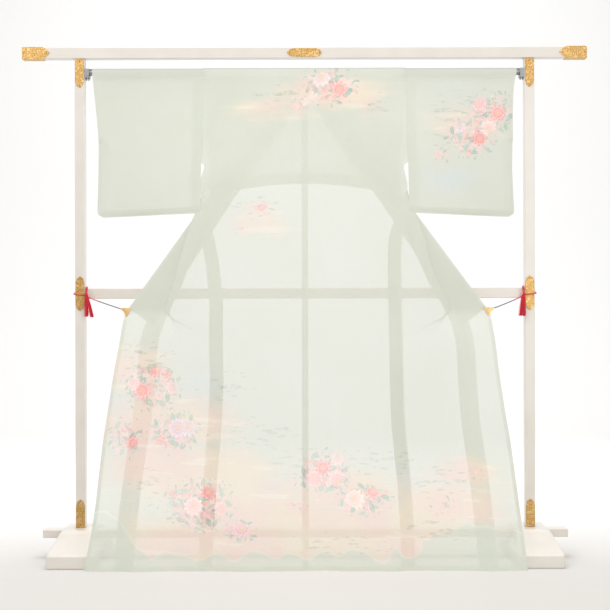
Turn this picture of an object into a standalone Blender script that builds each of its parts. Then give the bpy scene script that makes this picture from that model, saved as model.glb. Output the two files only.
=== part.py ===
"""A sheer kimono spread on a kimono rack, back side towards -Y.

Metres, +Z up, +X to the right of a viewer who looks along +Y. The origin is on the floor, under the
middle of the whole part. The cloth hangs over a rod; its fronts are opened outward and held by clips.
"""
from collections import namedtuple
from math import atan2, cos, pi, radians, sin

import bmesh
import bpy
from mathutils import Vector

for old in list(bpy.data.objects):
    bpy.data.objects.remove(old, do_unlink=True)

# The rack's middle lies this far behind the middle of the whole part, whose hem reaches forward.
BOX_SHIFT_Y = 0.0214

# Fits
GAP = 0.0003
WALL = 0.0012
LAYER = WALL + 0.0004

# Rack
RACK_HEIGHT = 1.644
TOP_RAIL_LENGTH = 1.818
RAIL_HEIGHT = 0.036
RAIL_DEPTH = 0.032
POST_X = 0.725
POST_SIDE = 0.032
MIDDLE_RAIL_Z = 0.850
MIDDLE_RAIL_HEIGHT = 0.034
MIDDLE_RAIL_DEPTH = 0.026
BEAM_LENGTH = 1.690
BEAM_Z = 0.077
BEAM_HEIGHT = 0.026
BEAM_DEPTH = 0.050
FOOT_WIDTH = 0.146
FOOT_LENGTH = 0.400
FOOT_PLINTH = 0.040
FOOT_TOP_Z = 0.096
FOOT_TOP_WIDTH = 0.100
FOOT_TOP_LENGTH = 0.130
EDGE_ROUND = 0.0022
PLATE_THICK = 0.0014
PLATE_WIDTH = 0.0285
PLATE_SEAT = 0.0001

# Rod and its brackets
ROD_RADIUS = 0.0113
ROD_Z = 1.5655
ROD_HALF_LENGTH = 0.706
BRACKET_WIDTH = 0.014
BRACKET_HALF_DEPTH = 0.016
BRACKET_TOP = 0.010
BRACKET_DROP = 0.019

# Kimono: mid-surface radii over the rod, inner piece first
LINING_RADIUS = ROD_RADIUS + 2 * GAP + WALL / 2
BODY_RADIUS = LINING_RADIUS + LAYER
SLEEVE_RADIUS = LINING_RADIUS
SHOULDER_HALF = 0.327
HEM_Z = 0.0020
HEM_FORWARD = 0.240
ARC_STEPS = 8
BACK_END_ANGLE = radians(75)
FRONT_START_ANGLE = radians(77)
ARMHOLE_Z = 1.350
SIDE_OPENING_Z = 1.205
COLLAR_WIDTH = 0.055
COLLAR_END_WIDTH = 0.085
OKUMI_TOP_Z = 1.185
LINING_HALF = 0.315
LINING_HEM_Z = 1.198
LINING_HEM_ARCH = 0.035
LINING_ARCH_HALF = 0.29

CLIP_Z = 0.790
CLIP_X = {"left": 0.574, "right": 0.590}
CLIP_PULL_BACK = 0.062
SIDES = {"left": -1, "right": 1}

# Heights of the fronts' sections, with the photographed x of each seam and edge on both sides.
# fold_reach is how far the pleat's outer fold lies beyond the okumi seam, fold_depth its depth.
# y_start, y_inner and y_outer are how far the side edge and the pleat's two runs lie behind the back.
Section = namedtuple("Section", "z side_left side_right okumi_left okumi_right fold_reach fold_depth"
                                " y_start y_inner y_outer")
SECTIONS = [
    Section(1.5655, 0.3270, 0.3270, 0.0870, 0.0870, 0.163, 0.080, 0.0278, 0.0278, 0.0278),
    Section(1.4600, 0.3270, 0.3270, 0.0870, 0.0870, 0.158, 0.105, 0.0260, 0.0260, 0.0300),
    Section(1.4300, 0.3270, 0.3270, 0.1080, 0.1110, 0.145, 0.125, 0.0250, 0.0250, 0.0320),
    Section(1.4000, 0.3270, 0.3270, 0.1300, 0.1340, 0.130, 0.145, 0.0240, 0.0240, 0.0335),
    Section(1.3430, 0.3270, 0.3270, 0.1720, 0.1760, 0.090, 0.144, 0.0220, 0.0220, 0.0340),
    Section(1.2490, 0.3150, 0.3150, 0.2400, 0.2470, 0.040, 0.133, 0.0160, 0.0180, 0.0310),
    Section(1.2100, 0.3180, 0.3150, 0.2680, 0.2750, 0.028, 0.122, 0.0110, 0.0160, 0.0290),
    Section(1.1950, 0.3180, 0.3135, 0.2745, 0.2780, 0.038, 0.124, 0.0080, 0.0157, 0.0285),
    Section(OKUMI_TOP_Z, 0.3180, 0.3120, 0.2790, 0.2810, 0.046, 0.125, 0.0055, 0.0155, 0.0280),
    Section(1.1680, 0.3180, 0.3100, 0.2880, 0.2900, 0.038, 0.130, 0.0030, 0.0150, 0.0270),
    Section(1.1020, 0.3070, 0.2890, 0.3135, 0.3140, 0.0145, 0.106, 0.0000, 0.0130, 0.0250),
    Section(1.0850, 0.3040, 0.2830, 0.3185, 0.3220, 0.028, 0.118, 0.0000, 0.0125, 0.0245),
    Section(1.0250, 0.2860, 0.2640, 0.3380, 0.3400, 0.016, 0.099, 0.0000, 0.0110, 0.0220),
    Section(0.9570, 0.2720, 0.2600, 0.3635, 0.3600, -0.005, 0.074, 0.0000, 0.0100, 0.0200),
    Section(0.8800, 0.2620, 0.2600, 0.3880, 0.3940, -0.004, 0.055, 0.0000, 0.0085, 0.0170),
    Section(0.8300, 0.2570, 0.2600, 0.4130, 0.4260, -0.006, 0.038, 0.0000, 0.0074, 0.0148),
    Section(CLIP_Z, 0.2570, 0.2610, 0.4330, 0.4490, -0.008, 0.026, 0.0000, 0.0066, 0.0132),
    Section(0.7500, 0.2570, 0.2610, 0.4490, 0.4640, -0.016, 0.008, 0.0000, 0.0056, 0.0112),
    Section(0.7200, 0.2570, 0.2610, 0.4580, 0.4720, -0.036, -0.012, 0.0000, 0.0046, 0.0092),
    Section(0.6700, 0.2570, 0.2620, 0.4670, 0.4780, -0.080, -0.040, 0.0000, 0.0028, 0.0056),
    Section(0.5800, 0.2530, 0.2620, 0.4680, 0.4790, -0.110, -0.060, 0.0000, 0.0000, 0.0010),
    Section(0.4500, 0.2570, 0.2650, 0.4800, 0.4850, -0.120, -0.060, 0.0000, 0.0000, 0.0000),
    Section(0.2800, 0.2700, 0.2800, 0.5030, 0.5060, -0.120, -0.060, 0.0000, 0.0000, 0.0000),
    Section(0.1100, 0.2800, 0.2900, 0.5190, 0.5210, -0.120, -0.060, 0.0000, 0.0000, 0.0000),
    Section(HEM_Z, 0.2840, 0.2900, 0.5250, 0.5290, -0.120, -0.060, 0.0000, 0.0000, 0.0000),
]
OUTER_FOLD = 0.35
INNER_FOLD = 0.65
FOLD_TURN = 0.08

# The okumi's free edge below the clip.
Edge = namedtuple("Edge", "z left right")
EDGES = [
    Edge(0.790, 0.574, 0.590), Edge(0.767, 0.579, 0.594), Edge(0.690, 0.589, 0.604),
    Edge(0.600, 0.603, 0.611), Edge(0.490, 0.617, 0.624), Edge(0.390, 0.630, 0.638),
    Edge(0.280, 0.640, 0.650), Edge(0.190, 0.647, 0.659), Edge(0.105, 0.658, 0.668),
    Edge(0.030, 0.671, 0.675), Edge(HEM_Z, 0.675, 0.677),
]

# The sleeve's outer edge.
Cuff = namedtuple("Cuff", "z left right")
CUFFS = [
    Cuff(1.5655, 0.686, 0.686), Cuff(1.525, 0.682, 0.676), Cuff(1.475, 0.676, 0.673),
    Cuff(1.420, 0.670, 0.671), Cuff(1.350, 0.664, 0.671), Cuff(1.250, 0.664, 0.668),
    Cuff(1.140, 0.666, 0.672), Cuff(1.090, 0.667, 0.674),
]
SLEEVE_BOTTOM_INNER = 1.104
SLEEVE_BOTTOM_OUTER = 1.094
SLEEVE_CORNER = 0.018
SLEEVE_INNER_LOW = 0.3315


def column(table, name, z):
    """A table's named column at height z, linear between its rows."""
    if z >= table[0].z:
        return getattr(table[0], name)
    for above, below in zip(table, table[1:]):
        if z >= below.z:
            share = (above.z - z) / (above.z - below.z)
            return getattr(above, name) * (1 - share) + getattr(below, name) * share
    return getattr(table[-1], name)


def smooth(value):
    """A smooth step from 0 to 1."""
    value = min(1.0, max(0.0, value))
    return value * value * (3 - 2 * value)


def mix(a, b, share):
    return a * (1 - share) + b * share


def material(name, color, roughness, metallic=0.0):
    made = bpy.data.materials.new(name)
    made.use_nodes = True
    shader = made.node_tree.nodes["Principled BSDF"]
    shader.inputs["Base Color"].default_value = (*color, 1)
    shader.inputs["Roughness"].default_value = roughness
    shader.inputs["Metallic"].default_value = metallic
    return made


CLOTH = material("sheer_silk", (0.80, 0.84, 0.72), 0.75)
LACQUER = material("white_lacquer", (0.86, 0.83, 0.78), 0.25)
GOLD = material("gold_fitting", (0.83, 0.56, 0.17), 0.32, 1.0)
STEEL = material("grey_rod", (0.32, 0.33, 0.35), 0.38, 1.0)
RED = material("red_cord", (0.62, 0.02, 0.05), 0.7)


def add_object(name, mesh, look):
    mesh.materials.append(look)
    made = bpy.data.objects.new(name, mesh)
    bpy.context.scene.collection.objects.link(made)
    return made


def object_from_bmesh(name, shape, look):
    bmesh.ops.recalc_face_normals(shape, faces=shape.faces)
    mesh = bpy.data.meshes.new(name)
    shape.to_mesh(mesh)
    shape.free()
    return add_object(name, mesh, look)


def grid_normals(points, ring=False):
    """Unit normals of a grid of points; ring joins its last row to its first."""
    rows, columns = len(points), len(points[0])
    normals = []
    for j in range(rows):
        below = points[(j + 1) % rows] if ring else points[min(j + 1, rows - 1)]
        above = points[j - 1] if ring else points[max(j - 1, 0)]
        line = []
        for i in range(columns):
            along = points[j][min(i + 1, columns - 1)] - points[j][max(i - 1, 0)]
            line.append(along.cross(below[i] - above[i]).normalized())
        normals.append(line)
    return normals


def cloth_sheet(name, points, wall=WALL):
    """A closed wall on both sides of a grid of points."""
    normals = grid_normals(points)
    shape = bmesh.new()
    faces = []
    for side in (0.5, -0.5):
        faces.append([[shape.verts.new(point + normal * wall * side) for point, normal in zip(*rows)]
                      for rows in zip(points, normals)])
    rows, columns = len(points), len(points[0])
    for grid in faces:
        for j in range(rows - 1):
            for i in range(columns - 1):
                shape.faces.new((grid[j][i], grid[j][i + 1], grid[j + 1][i + 1], grid[j + 1][i]))
    rim = [(0, i) for i in range(columns)] + [(j, columns - 1) for j in range(1, rows)]
    rim += [(rows - 1, i) for i in range(columns - 2, -1, -1)] + [(j, 0) for j in range(rows - 2, 0, -1)]
    for (j, i), (k, m) in zip(rim, rim[1:] + rim[:1]):
        shape.faces.new((faces[0][j][i], faces[0][k][m], faces[1][k][m], faces[1][j][i]))
    return object_from_bmesh(name, shape, CLOTH)


# Where the cloth hangs

def lean(z):
    """y of the back: it leaves the rod's near side and reaches the floor in front of the feet."""
    return -BODY_RADIUS - (HEM_FORWARD - BODY_RADIUS) * (1 - z / ROD_Z) if z < ROD_Z else -BODY_RADIUS


def pull_back(x, z):
    """How far the clips draw the opened fronts back towards the posts."""
    outward = smooth((abs(x) - 0.27) / 0.30)
    upward = z / CLIP_Z if z < CLIP_Z else max(0.0, (1.40 - z) / (1.40 - CLIP_Z))
    return CLIP_PULL_BACK * outward * upward


def collar_seam_x(side, z):
    """The collar seam runs straight from the middle of the shoulder line to the clip."""
    slope = CLIP_X[side] / (ROD_Z + BODY_RADIUS - CLIP_Z)
    return slope * (ROD_Z + BODY_RADIUS - z)


def outer_x(side, z):
    """The opened front's outer edge: collar seam above the clip, okumi edge below it."""
    return collar_seam_x(side, z) if z > CLIP_Z else column(EDGES, side, z)


def rod_point(x, angle, radius):
    """A point on cloth over the rod; the angle is 0 at the top and grows towards +Y."""
    return Vector((x, radius * sin(angle), ROD_Z + radius * cos(angle)))


def steps(first, last, count):
    return [mix(first, last, k / count) for k in range(count + 1)]


BACK_HEIGHTS = [1.50, 1.43, ARMHOLE_Z, 1.29] + [section.z for section in SECTIONS if section.z < 1.26]


def back_panel(side):
    """From past the rod's top, over it and down the near side to the hem."""
    sign = SIDES[side]
    columns = 7
    rows = []
    for angle in steps(BACK_END_ANGLE, -pi / 2, ARC_STEPS):
        widths = steps(GAP / 2, SHOULDER_HALF - GAP / 2, columns)
        rows.append([rod_point(sign * x, angle, BODY_RADIUS) for x in widths])
    for z in BACK_HEIGHTS:
        edge = column(SECTIONS, "side_" + side, z) - GAP / 2
        ripple = 0.004 * smooth((1.35 - z) / 0.7)
        row = []
        for k, x in enumerate(steps(GAP / 2, edge, columns)):
            wave = ripple * sin(pi * k / columns) * cos(3 * pi * k / columns)
            row.append(Vector((sign * x, lean(z) + wave + pull_back(x, z), z)))
        rows.append(row)
    return cloth_sheet("back_" + side, rows)


def pleat_point(side, z, share):
    """A point of the front at height z; share is 0 at the side seam and 1 at the okumi seam."""
    okumi = column(SECTIONS, "okumi_" + side, z)
    sewn = z < SIDE_OPENING_Z
    start = column(SECTIONS, "side_" + side, z) + (GAP / 2 if sewn else -GAP / 2)
    fold_out = okumi + column(SECTIONS, "fold_reach", z)
    fold_in = fold_out - column(SECTIONS, "fold_depth", z)
    start_y = column(SECTIONS, "y_start", z)
    inner_y = column(SECTIONS, "y_inner", z)
    outer_y = column(SECTIONS, "y_outer", z)
    if share < OUTER_FOLD:
        x = mix(start, fold_out, sin(share / OUTER_FOLD * pi / 2))
    elif share < INNER_FOLD:
        x = mix(fold_out, fold_in, (1 - cos((share - OUTER_FOLD) / (INNER_FOLD - OUTER_FOLD) * pi)) / 2)
    else:
        x = mix(fold_in, okumi - GAP / 2, 1 - cos((share - INNER_FOLD) / (1 - INNER_FOLD) * pi / 2))
    steady = mix(start_y, outer_y, share)
    turned = start_y + (inner_y - start_y) * smooth((share - OUTER_FOLD + FOLD_TURN) / (2 * FOLD_TURN))
    turned += (outer_y - inner_y) * smooth((share - INNER_FOLD + FOLD_TURN) / (2 * FOLD_TURN))
    y = mix(turned, steady, 0.25)
    return x, lean(z) + y + pull_back(x, z)


def front_panel(side):
    """From behind the rod down to the hem, with the pleat beside its okumi seam."""
    sign = SIDES[side]
    columns = 20
    rows = []
    shares = steps(0, 1, columns)
    top = [pleat_point(side, ROD_Z, share)[0] for share in shares]
    rows.append([rod_point(sign * x, FRONT_START_ANGLE, BODY_RADIUS) for x in top])
    for section in SECTIONS:
        row = []
        for share in shares:
            x, y = pleat_point(side, section.z, share)
            row.append(Vector((sign * x, y, section.z)))
        rows.append(row)
    return cloth_sheet("front_" + side, rows)


def okumi_panel(side):
    """The wedge between the okumi seam and the collar seam, then down to the hem."""
    sign = SIDES[side]
    rows = []
    for z in [section.z for section in SECTIONS if section.z <= OKUMI_TOP_Z]:
        inner = column(SECTIONS, "okumi_" + side, z) + GAP / 2
        depth = column(SECTIONS, "y_outer", z)
        row = []
        for x in steps(inner, outer_x(side, z), 4):
            row.append(Vector((sign * x, lean(z) + depth + pull_back(x, z), z)))
        rows.append(row)
    return cloth_sheet("okumi_" + side, rows)


CollarRow = namedtuple("CollarRow", "x z inner_x inner_z behind")
NECK_Z = ROD_Z + BODY_RADIUS * cos(FRONT_START_ANGLE)
NECK_ROWS = [
    CollarRow(0.00015, NECK_Z, 0.00015, 1.5110, 0.0),
    CollarRow(0.0320, NECK_Z, 0.0200, 1.5110, 0.0),
    CollarRow(0.0640, NECK_Z, 0.0330, 1.5080, 0.0),
    CollarRow(0.0855, 1.5480, 0.0360, 1.5000, 0.0),
    CollarRow(0.0855, 1.5150, 0.0355, 1.4850, 0.0),
    CollarRow(0.0855, 1.4750, 0.0340, 1.4600, 0.001),
]


def collar_strip(side):
    """From the back neck to the clip, turned in behind the front at its seam."""
    sign = SIDES[side]
    slant = atan2(CLIP_X[side], ROD_Z + BODY_RADIUS - CLIP_Z)
    count = 12
    rows_wanted = list(NECK_ROWS)
    for k, z in enumerate(steps(1.425, CLIP_Z + 0.032, count)):
        width = mix(COLLAR_WIDTH, COLLAR_END_WIDTH, k / count)
        x = collar_seam_x(side, z) - 0.003
        rows_wanted.append(CollarRow(x, z, x - cos(slant) * width, z - sin(slant) * width, 0.0045))
    rows = []
    for wanted in rows_wanted:
        base = column(SECTIONS, "y_outer", wanted.z) + pull_back(wanted.x, wanted.z)
        row = []
        for share in steps(0, 1, 3):
            x = mix(wanted.x, wanted.inner_x, share)
            z = mix(wanted.z, wanted.inner_z, share)
            row.append(Vector((sign * x, lean(z) + base + wanted.behind * (1 + 1.2 * share), z)))
        rows.append(row)
    return cloth_sheet("collar_" + side, rows)


def shoulder_lining():
    """Inside the back: over the rod and down to an arched hem."""
    columns = 12
    widths = steps(-LINING_HALF, LINING_HALF, columns)
    rows = []
    for angle in steps(BACK_END_ANGLE, -pi / 2, ARC_STEPS):
        rows.append([rod_point(x, angle, LINING_RADIUS) for x in widths])
    for drop in steps(0.17, 1, 5):
        row = []
        for x in widths:
            hem = LINING_HEM_Z - LINING_HEM_ARCH * (x / LINING_ARCH_HALF) ** 2
            z = mix(ROD_Z, hem, drop)
            narrow = 1 - 0.04 * smooth((1.40 - z) / 0.15)
            row.append(Vector((x * narrow, lean(z) + LAYER + 0.0002 + pull_back(x, z), z)))
        rows.append(row)
    return cloth_sheet("shoulder_lining", rows)


def sleeve(side):
    """A bag folded over the rod: cuff open above, inner edge open below the armhole."""
    sign = SIDES[side]
    drops = [0.11, 0.27, 0.455, 0.64, 0.82, 0.935, 0.975]
    columns = [0, 0.16, 0.34, 0.52, 0.70, 0.85, 0.95, 1]

    def place(share, drop, back):
        bottom = mix(SLEEVE_BOTTOM_INNER, SLEEVE_BOTTOM_OUTER, share)
        z = mix(ROD_Z, bottom, drop)
        outer = column(CUFFS, side, z)
        lift = z - bottom
        if lift < SLEEVE_CORNER:
            outer -= SLEEVE_CORNER - (SLEEVE_CORNER ** 2 - (SLEEVE_CORNER - lift) ** 2) ** 0.5
        inner = SHOULDER_HALF + GAP / 2 + (SLEEVE_INNER_LOW - SHOULDER_HALF) * smooth((ARMHOLE_Z - z) / 0.1)
        x = mix(inner, outer, share)
        near_in = lean(z) + BODY_RADIUS - SLEEVE_RADIUS
        near_out = -SLEEVE_RADIUS - 0.020 * drop
        near = mix(near_in, near_out, smooth(share))
        apart = mix(2 * SLEEVE_RADIUS, 0.010, smooth(drop))
        return Vector((sign * x, near + apart * back, z))

    ring = [[place(share, drop, 0) for share in columns] for drop in reversed(drops)]
    for angle in steps(-pi / 2, pi / 2, ARC_STEPS):
        outer = column(CUFFS, side, ROD_Z)
        ring.append([rod_point(sign * mix(SHOULDER_HALF + GAP / 2, outer, share), angle, SLEEVE_RADIUS)
                     for share in columns])
    ring += [[place(share, drop, 1) for share in columns] for drop in drops]
    ring.append([place(share, 0.994, 0.80) for share in columns])
    ring.append([place(share, 1.0, 0.5) for share in columns])
    ring.append([place(share, 0.994, 0.20) for share in columns])

    normals = grid_normals(ring, ring=True)
    shape = bmesh.new()
    count, last = len(ring), len(columns) - 1
    near_cuff = len(drops) - 1 - drops.index(0.455)
    back_cuff = len(drops) + ARC_STEPS + 1 + drops.index(0.455)
    closed = [(back_cuff + k) % count for k in range((near_cuff - back_cuff) % count + 1)]
    outward = WALL / 2 if normals[len(drops) + ARC_STEPS // 2][0].z > 0 else -WALL / 2
    outside, inside = [], []
    for j, (points, directions) in enumerate(zip(ring, normals)):
        outer_row, inner_row = [], []
        for i, (point, direction) in enumerate(zip(points, directions)):
            inner_point = point - direction * outward
            if i == last and j in closed:
                inner_point.x -= sign * WALL
            outer_row.append(shape.verts.new(point + direction * outward))
            inner_row.append(shape.verts.new(inner_point))
        outside.append(outer_row)
        inside.append(inner_row)
    for grid in (outside, inside):
        for j in range(count):
            following = (j + 1) % count
            for i in range(last):
                shape.faces.new((grid[j][i], grid[j][i + 1], grid[following][i + 1], grid[following][i]))
    for j in range(count):
        following = (j + 1) % count
        shape.faces.new((outside[j][0], outside[following][0], inside[following][0], inside[j][0]))
        if not (j in closed and following in closed):
            shape.faces.new((outside[j][last], outside[following][last], inside[following][last],
                             inside[j][last]))
    for grid in (outside, inside):
        for low, high in zip(range(len(closed)), reversed(range(len(closed)))):
            if low + 1 < high - 1:
                shape.faces.new((grid[closed[low]][last], grid[closed[low + 1]][last],
                                 grid[closed[high - 1]][last], grid[closed[high]][last]))
            elif low + 1 == high - 1:
                shape.faces.new((grid[closed[low]][last], grid[closed[low + 1]][last],
                                 grid[closed[high]][last]))
    shape.faces.new((outside[closed[0]][last], inside[closed[0]][last], inside[closed[-1]][last],
                     outside[closed[-1]][last]))
    return object_from_bmesh("sleeve_" + side, shape, CLOTH)


# Rack

def box(name, low, high, look, round_edge=EDGE_ROUND):
    """A box between two corners, with rounded edges."""
    shape = bmesh.new()
    bmesh.ops.create_cube(shape, size=1)
    low, high = Vector(low), Vector(high)
    for vert in shape.verts:
        vert.co = Vector([mix(a, b, c + 0.5) for a, b, c in zip(low, high, vert.co)])
    made = object_from_bmesh(name, shape, look)
    if round_edge:
        bevel = made.modifiers.new("rounded edges", "BEVEL")
        bevel.width = round_edge
        bevel.segments = 2
    return made


def prism(name, outline, y_low, y_high, look):
    """An outline in x and z, drawn out along y."""
    shape = bmesh.new()
    near = [shape.verts.new((x, y_low, z)) for x, z in outline]
    far = [shape.verts.new((x, y_high, z)) for x, z in outline]
    shape.faces.new(near)
    shape.faces.new(list(reversed(far)))
    for k in range(len(outline)):
        following = (k + 1) % len(outline)
        shape.faces.new((near[k], far[k], far[following], near[following]))
    return object_from_bmesh(name, shape, look)


def cut(target, cutter):
    """Takes the cutter's shape out of the target."""
    cutter.hide_render = True
    cutter.display_type = "WIRE"
    boolean = target.modifiers.new("cut", "BOOLEAN")
    boolean.operation = "DIFFERENCE"
    boolean.solver = "EXACT"
    boolean.object = cutter


def foot(side):
    """A plinth whose upper part slopes in on all sides, with a mortise for the beam."""
    middle = SIDES[side] * POST_X
    levels = [(0.0, FOOT_WIDTH, FOOT_LENGTH), (FOOT_PLINTH, FOOT_WIDTH, FOOT_LENGTH),
              (FOOT_TOP_Z - 0.008, FOOT_TOP_WIDTH + 0.010, FOOT_TOP_LENGTH + 0.030),
              (FOOT_TOP_Z, FOOT_TOP_WIDTH, FOOT_TOP_LENGTH)]
    shape = bmesh.new()
    rings = []
    for z, width, length in levels:
        corners = [(-width, -length), (width, -length), (width, length), (-width, length)]
        rings.append([shape.verts.new((middle + x / 2, y / 2, z)) for x, y in corners])
    for lower, upper in zip(rings, rings[1:]):
        for k in range(4):
            shape.faces.new((lower[k], lower[(k + 1) % 4], upper[(k + 1) % 4], upper[k]))
    shape.faces.new(rings[0])
    shape.faces.new(rings[-1])
    made = object_from_bmesh("foot_" + side, shape, LACQUER)
    bevel = made.modifiers.new("rounded edges", "BEVEL")
    bevel.width = 0.003
    bevel.segments = 2
    half_height = BEAM_HEIGHT / 2 + GAP
    half_depth = BEAM_DEPTH / 2 + GAP
    cutter = box("cutter_mortise_" + side, (middle - 0.12, -half_depth, BEAM_Z - half_height),
                 (middle + 0.12, half_depth, BEAM_Z + half_height), LACQUER, 0)
    cut(made, cutter)
    return made


def pointed_plate(name, center, length, width, y_face, away, points, upright=True):
    """A gold plate on a rail or post; points says which of its ends come to a point."""
    tip = width * 0.75
    low_ends = [(-width / 2, -length / 2), (width / 2, -length / 2)]
    high_ends = [(width / 2, length / 2), (-width / 2, length / 2)]
    if "low" in points:
        low_ends = [(-width / 2, -length / 2 + tip), (-width / 3, -length / 2 + tip / 3), (0, -length / 2),
                    (width / 3, -length / 2 + tip / 3), (width / 2, -length / 2 + tip)]
    if "high" in points:
        high_ends = [(width / 2, length / 2 - tip), (width / 3, length / 2 - tip / 3), (0, length / 2),
                     (-width / 3, length / 2 - tip / 3), (-width / 2, length / 2 - tip)]
    outline = low_ends + high_ends
    if not upright:
        outline = [(b, a) for a, b in outline]
    outline = [(center[0] + a, center[1] + b) for a, b in outline]
    near = y_face + away * PLATE_SEAT
    return prism(name, outline, near, near + away * PLATE_THICK, GOLD)


def rail_end_cap(side):
    """A cap round the rail's end, its front and back drawn out to a point."""
    sign = SIDES[side]
    skin = PLATE_THICK
    end = TOP_RAIL_LENGTH / 2 + skin
    half = RAIL_HEIGHT / 2 + skin
    rail_z = RACK_HEIGHT - RAIL_HEIGHT / 2
    length, tip = 0.090, 0.022
    outline = [(end, -half), (end, half), (end - length + tip, half), (end - length + tip * 0.4, half * 0.45),
               (end - length, 0), (end - length + tip * 0.4, -half * 0.45), (end - length + tip, -half)]
    outline = [(sign * a, rail_z + b) for a, b in outline]
    made = prism("gold_rail_end_" + side, outline, -RAIL_DEPTH / 2 - skin, RAIL_DEPTH / 2 + skin, GOLD)
    fit_y, fit_z = RAIL_DEPTH / 2 + PLATE_SEAT, RAIL_HEIGHT / 2 + PLATE_SEAT
    low = (sign * (TOP_RAIL_LENGTH / 2 + PLATE_SEAT), -fit_y, rail_z - fit_z)
    high = (sign * 0.70, fit_y, rail_z + fit_z)
    cutter = box("cutter_rail_end_" + side, [min(a, b) for a, b in zip(low, high)],
                 [max(a, b) for a, b in zip(low, high)], GOLD, 0)
    cut(made, cutter)
    return made


def rack():
    rail_low = RACK_HEIGHT - RAIL_HEIGHT
    box("top_rail", (-TOP_RAIL_LENGTH / 2, -RAIL_DEPTH / 2, rail_low),
        (TOP_RAIL_LENGTH / 2, RAIL_DEPTH / 2, RACK_HEIGHT), LACQUER)
    inner_face = POST_X - POST_SIDE / 2 - GAP
    box("middle_rail", (-inner_face, -MIDDLE_RAIL_DEPTH / 2, MIDDLE_RAIL_Z - MIDDLE_RAIL_HEIGHT / 2),
        (inner_face, MIDDLE_RAIL_DEPTH / 2, MIDDLE_RAIL_Z + MIDDLE_RAIL_HEIGHT / 2), LACQUER)
    box("base_beam", (-BEAM_LENGTH / 2, -BEAM_DEPTH / 2, BEAM_Z - BEAM_HEIGHT / 2),
        (BEAM_LENGTH / 2, BEAM_DEPTH / 2, BEAM_Z + BEAM_HEIGHT / 2), LACQUER)
    for side, sign in SIDES.items():
        middle = sign * POST_X
        box("post_" + side, (middle - POST_SIDE / 2, -POST_SIDE / 2, FOOT_TOP_Z + GAP),
            (middle + POST_SIDE / 2, POST_SIDE / 2, rail_low - GAP), LACQUER)
        foot(side)
        rail_end_cap(side)
        for face, away in (("front", -1), ("back", 1)):
            y_face = away * POST_SIDE / 2
            pointed_plate("gold_top_%s_%s" % (face, side), (middle, 1.560), 0.094, PLATE_WIDTH, y_face, away,
                          "low")
            pointed_plate("gold_middle_%s_%s" % (face, side), (middle, 0.850), 0.113, PLATE_WIDTH, y_face,
                          away, "low high")
            pointed_plate("gold_bottom_%s_%s" % (face, side), (middle, 0.142), 0.090, PLATE_WIDTH, y_face,
                          away, "high")
    for face, away in (("front", -1), ("back", 1)):
        pointed_plate("gold_rail_centre_" + face, (0, RACK_HEIGHT - RAIL_HEIGHT / 2), 0.113, 0.028,
                      away * RAIL_DEPTH / 2, away, "low high", upright=False)


def rod_and_brackets():
    bpy.ops.mesh.primitive_cylinder_add(vertices=28, radius=ROD_RADIUS, depth=2 * ROD_HALF_LENGTH,
                                        location=(0, 0, ROD_Z), rotation=(0, pi / 2, 0))
    rod = bpy.context.object
    rod.name = "hanging_rod"
    rod.data.materials.append(STEEL)
    for side, sign in SIDES.items():
        inner_face = POST_X - POST_SIDE / 2 - GAP
        slot = ROD_RADIUS + GAP
        outline = [(-BRACKET_HALF_DEPTH, BRACKET_TOP), (-BRACKET_HALF_DEPTH, -BRACKET_DROP),
                   (BRACKET_HALF_DEPTH, -BRACKET_DROP), (BRACKET_HALF_DEPTH, BRACKET_TOP)]
        outline += [(slot * cos(a), slot * sin(a)) for a in steps(0, -pi, 10)]
        outline.insert(4, (slot, BRACKET_TOP))
        outline.append((-slot, BRACKET_TOP))
        shape = bmesh.new()
        ends = []
        for x in (sign * inner_face, sign * (inner_face - BRACKET_WIDTH)):
            ends.append([shape.verts.new((x, y, ROD_Z + z)) for y, z in outline])
        for k in range(len(outline)):
            following = (k + 1) % len(outline)
            shape.faces.new((ends[0][k], ends[0][following], ends[1][following], ends[1][k]))
        shape.faces.new(ends[0])
        shape.faces.new(list(reversed(ends[1])))
        object_from_bmesh("rod_bracket_" + side, shape, STEEL)


# Clips, cords and tassels

CORD_RADIUS = 0.0011
CLIP_THICK = 0.0022
CLIP_WIDTH = 0.034
CLIP_DROP = 0.030
CLIP_HINGE = 0.006
CLIP_REACH = 0.020
CLIP_TOP = 0.014
CLIP_MOUTH_HALF = 0.0042
CLIP_BEHIND = 0.0016
TASSEL_LENGTH = 0.066
TASSEL_HEAD = 0.0045


def clip_center_y(side):
    x = CLIP_X[side]
    return lean(CLIP_Z) + column(SECTIONS, "y_outer", CLIP_Z) + pull_back(x, CLIP_Z) - CLIP_BEHIND


def clip(side):
    """Two three-cornered jaws, one on each face of the cloth's corner, joined beyond its edge."""
    sign = SIDES[side]
    edge = CLIP_X[side]
    top = CLIP_Z + CLIP_TOP
    end = edge + CLIP_WIDTH - CLIP_REACH
    jaw = [(edge - CLIP_REACH, top), (edge - CLIP_REACH * 0.2, top - CLIP_DROP),
           (end - CLIP_HINGE, top - 0.006), (end, top)]
    jaw = [(sign * x, z) for x, z in jaw]
    y = clip_center_y(side)
    outside = CLIP_MOUTH_HALF + CLIP_THICK
    made = prism("clip_" + side, jaw, y - outside, y + outside, GOLD)
    hollow_low = (edge - CLIP_REACH - 0.01, y - CLIP_MOUTH_HALF, top - CLIP_DROP - 0.01)
    hollow_high = (edge + 0.0065, y + CLIP_MOUTH_HALF, top + 0.01)
    xs = sorted((sign * hollow_low[0], sign * hollow_high[0]))
    cutter = box("cutter_clip_" + side, (xs[0], hollow_low[1], hollow_low[2]),
                 (xs[1], hollow_high[1], hollow_high[2]), GOLD, 0)
    cut(made, cutter)
    return made


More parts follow.
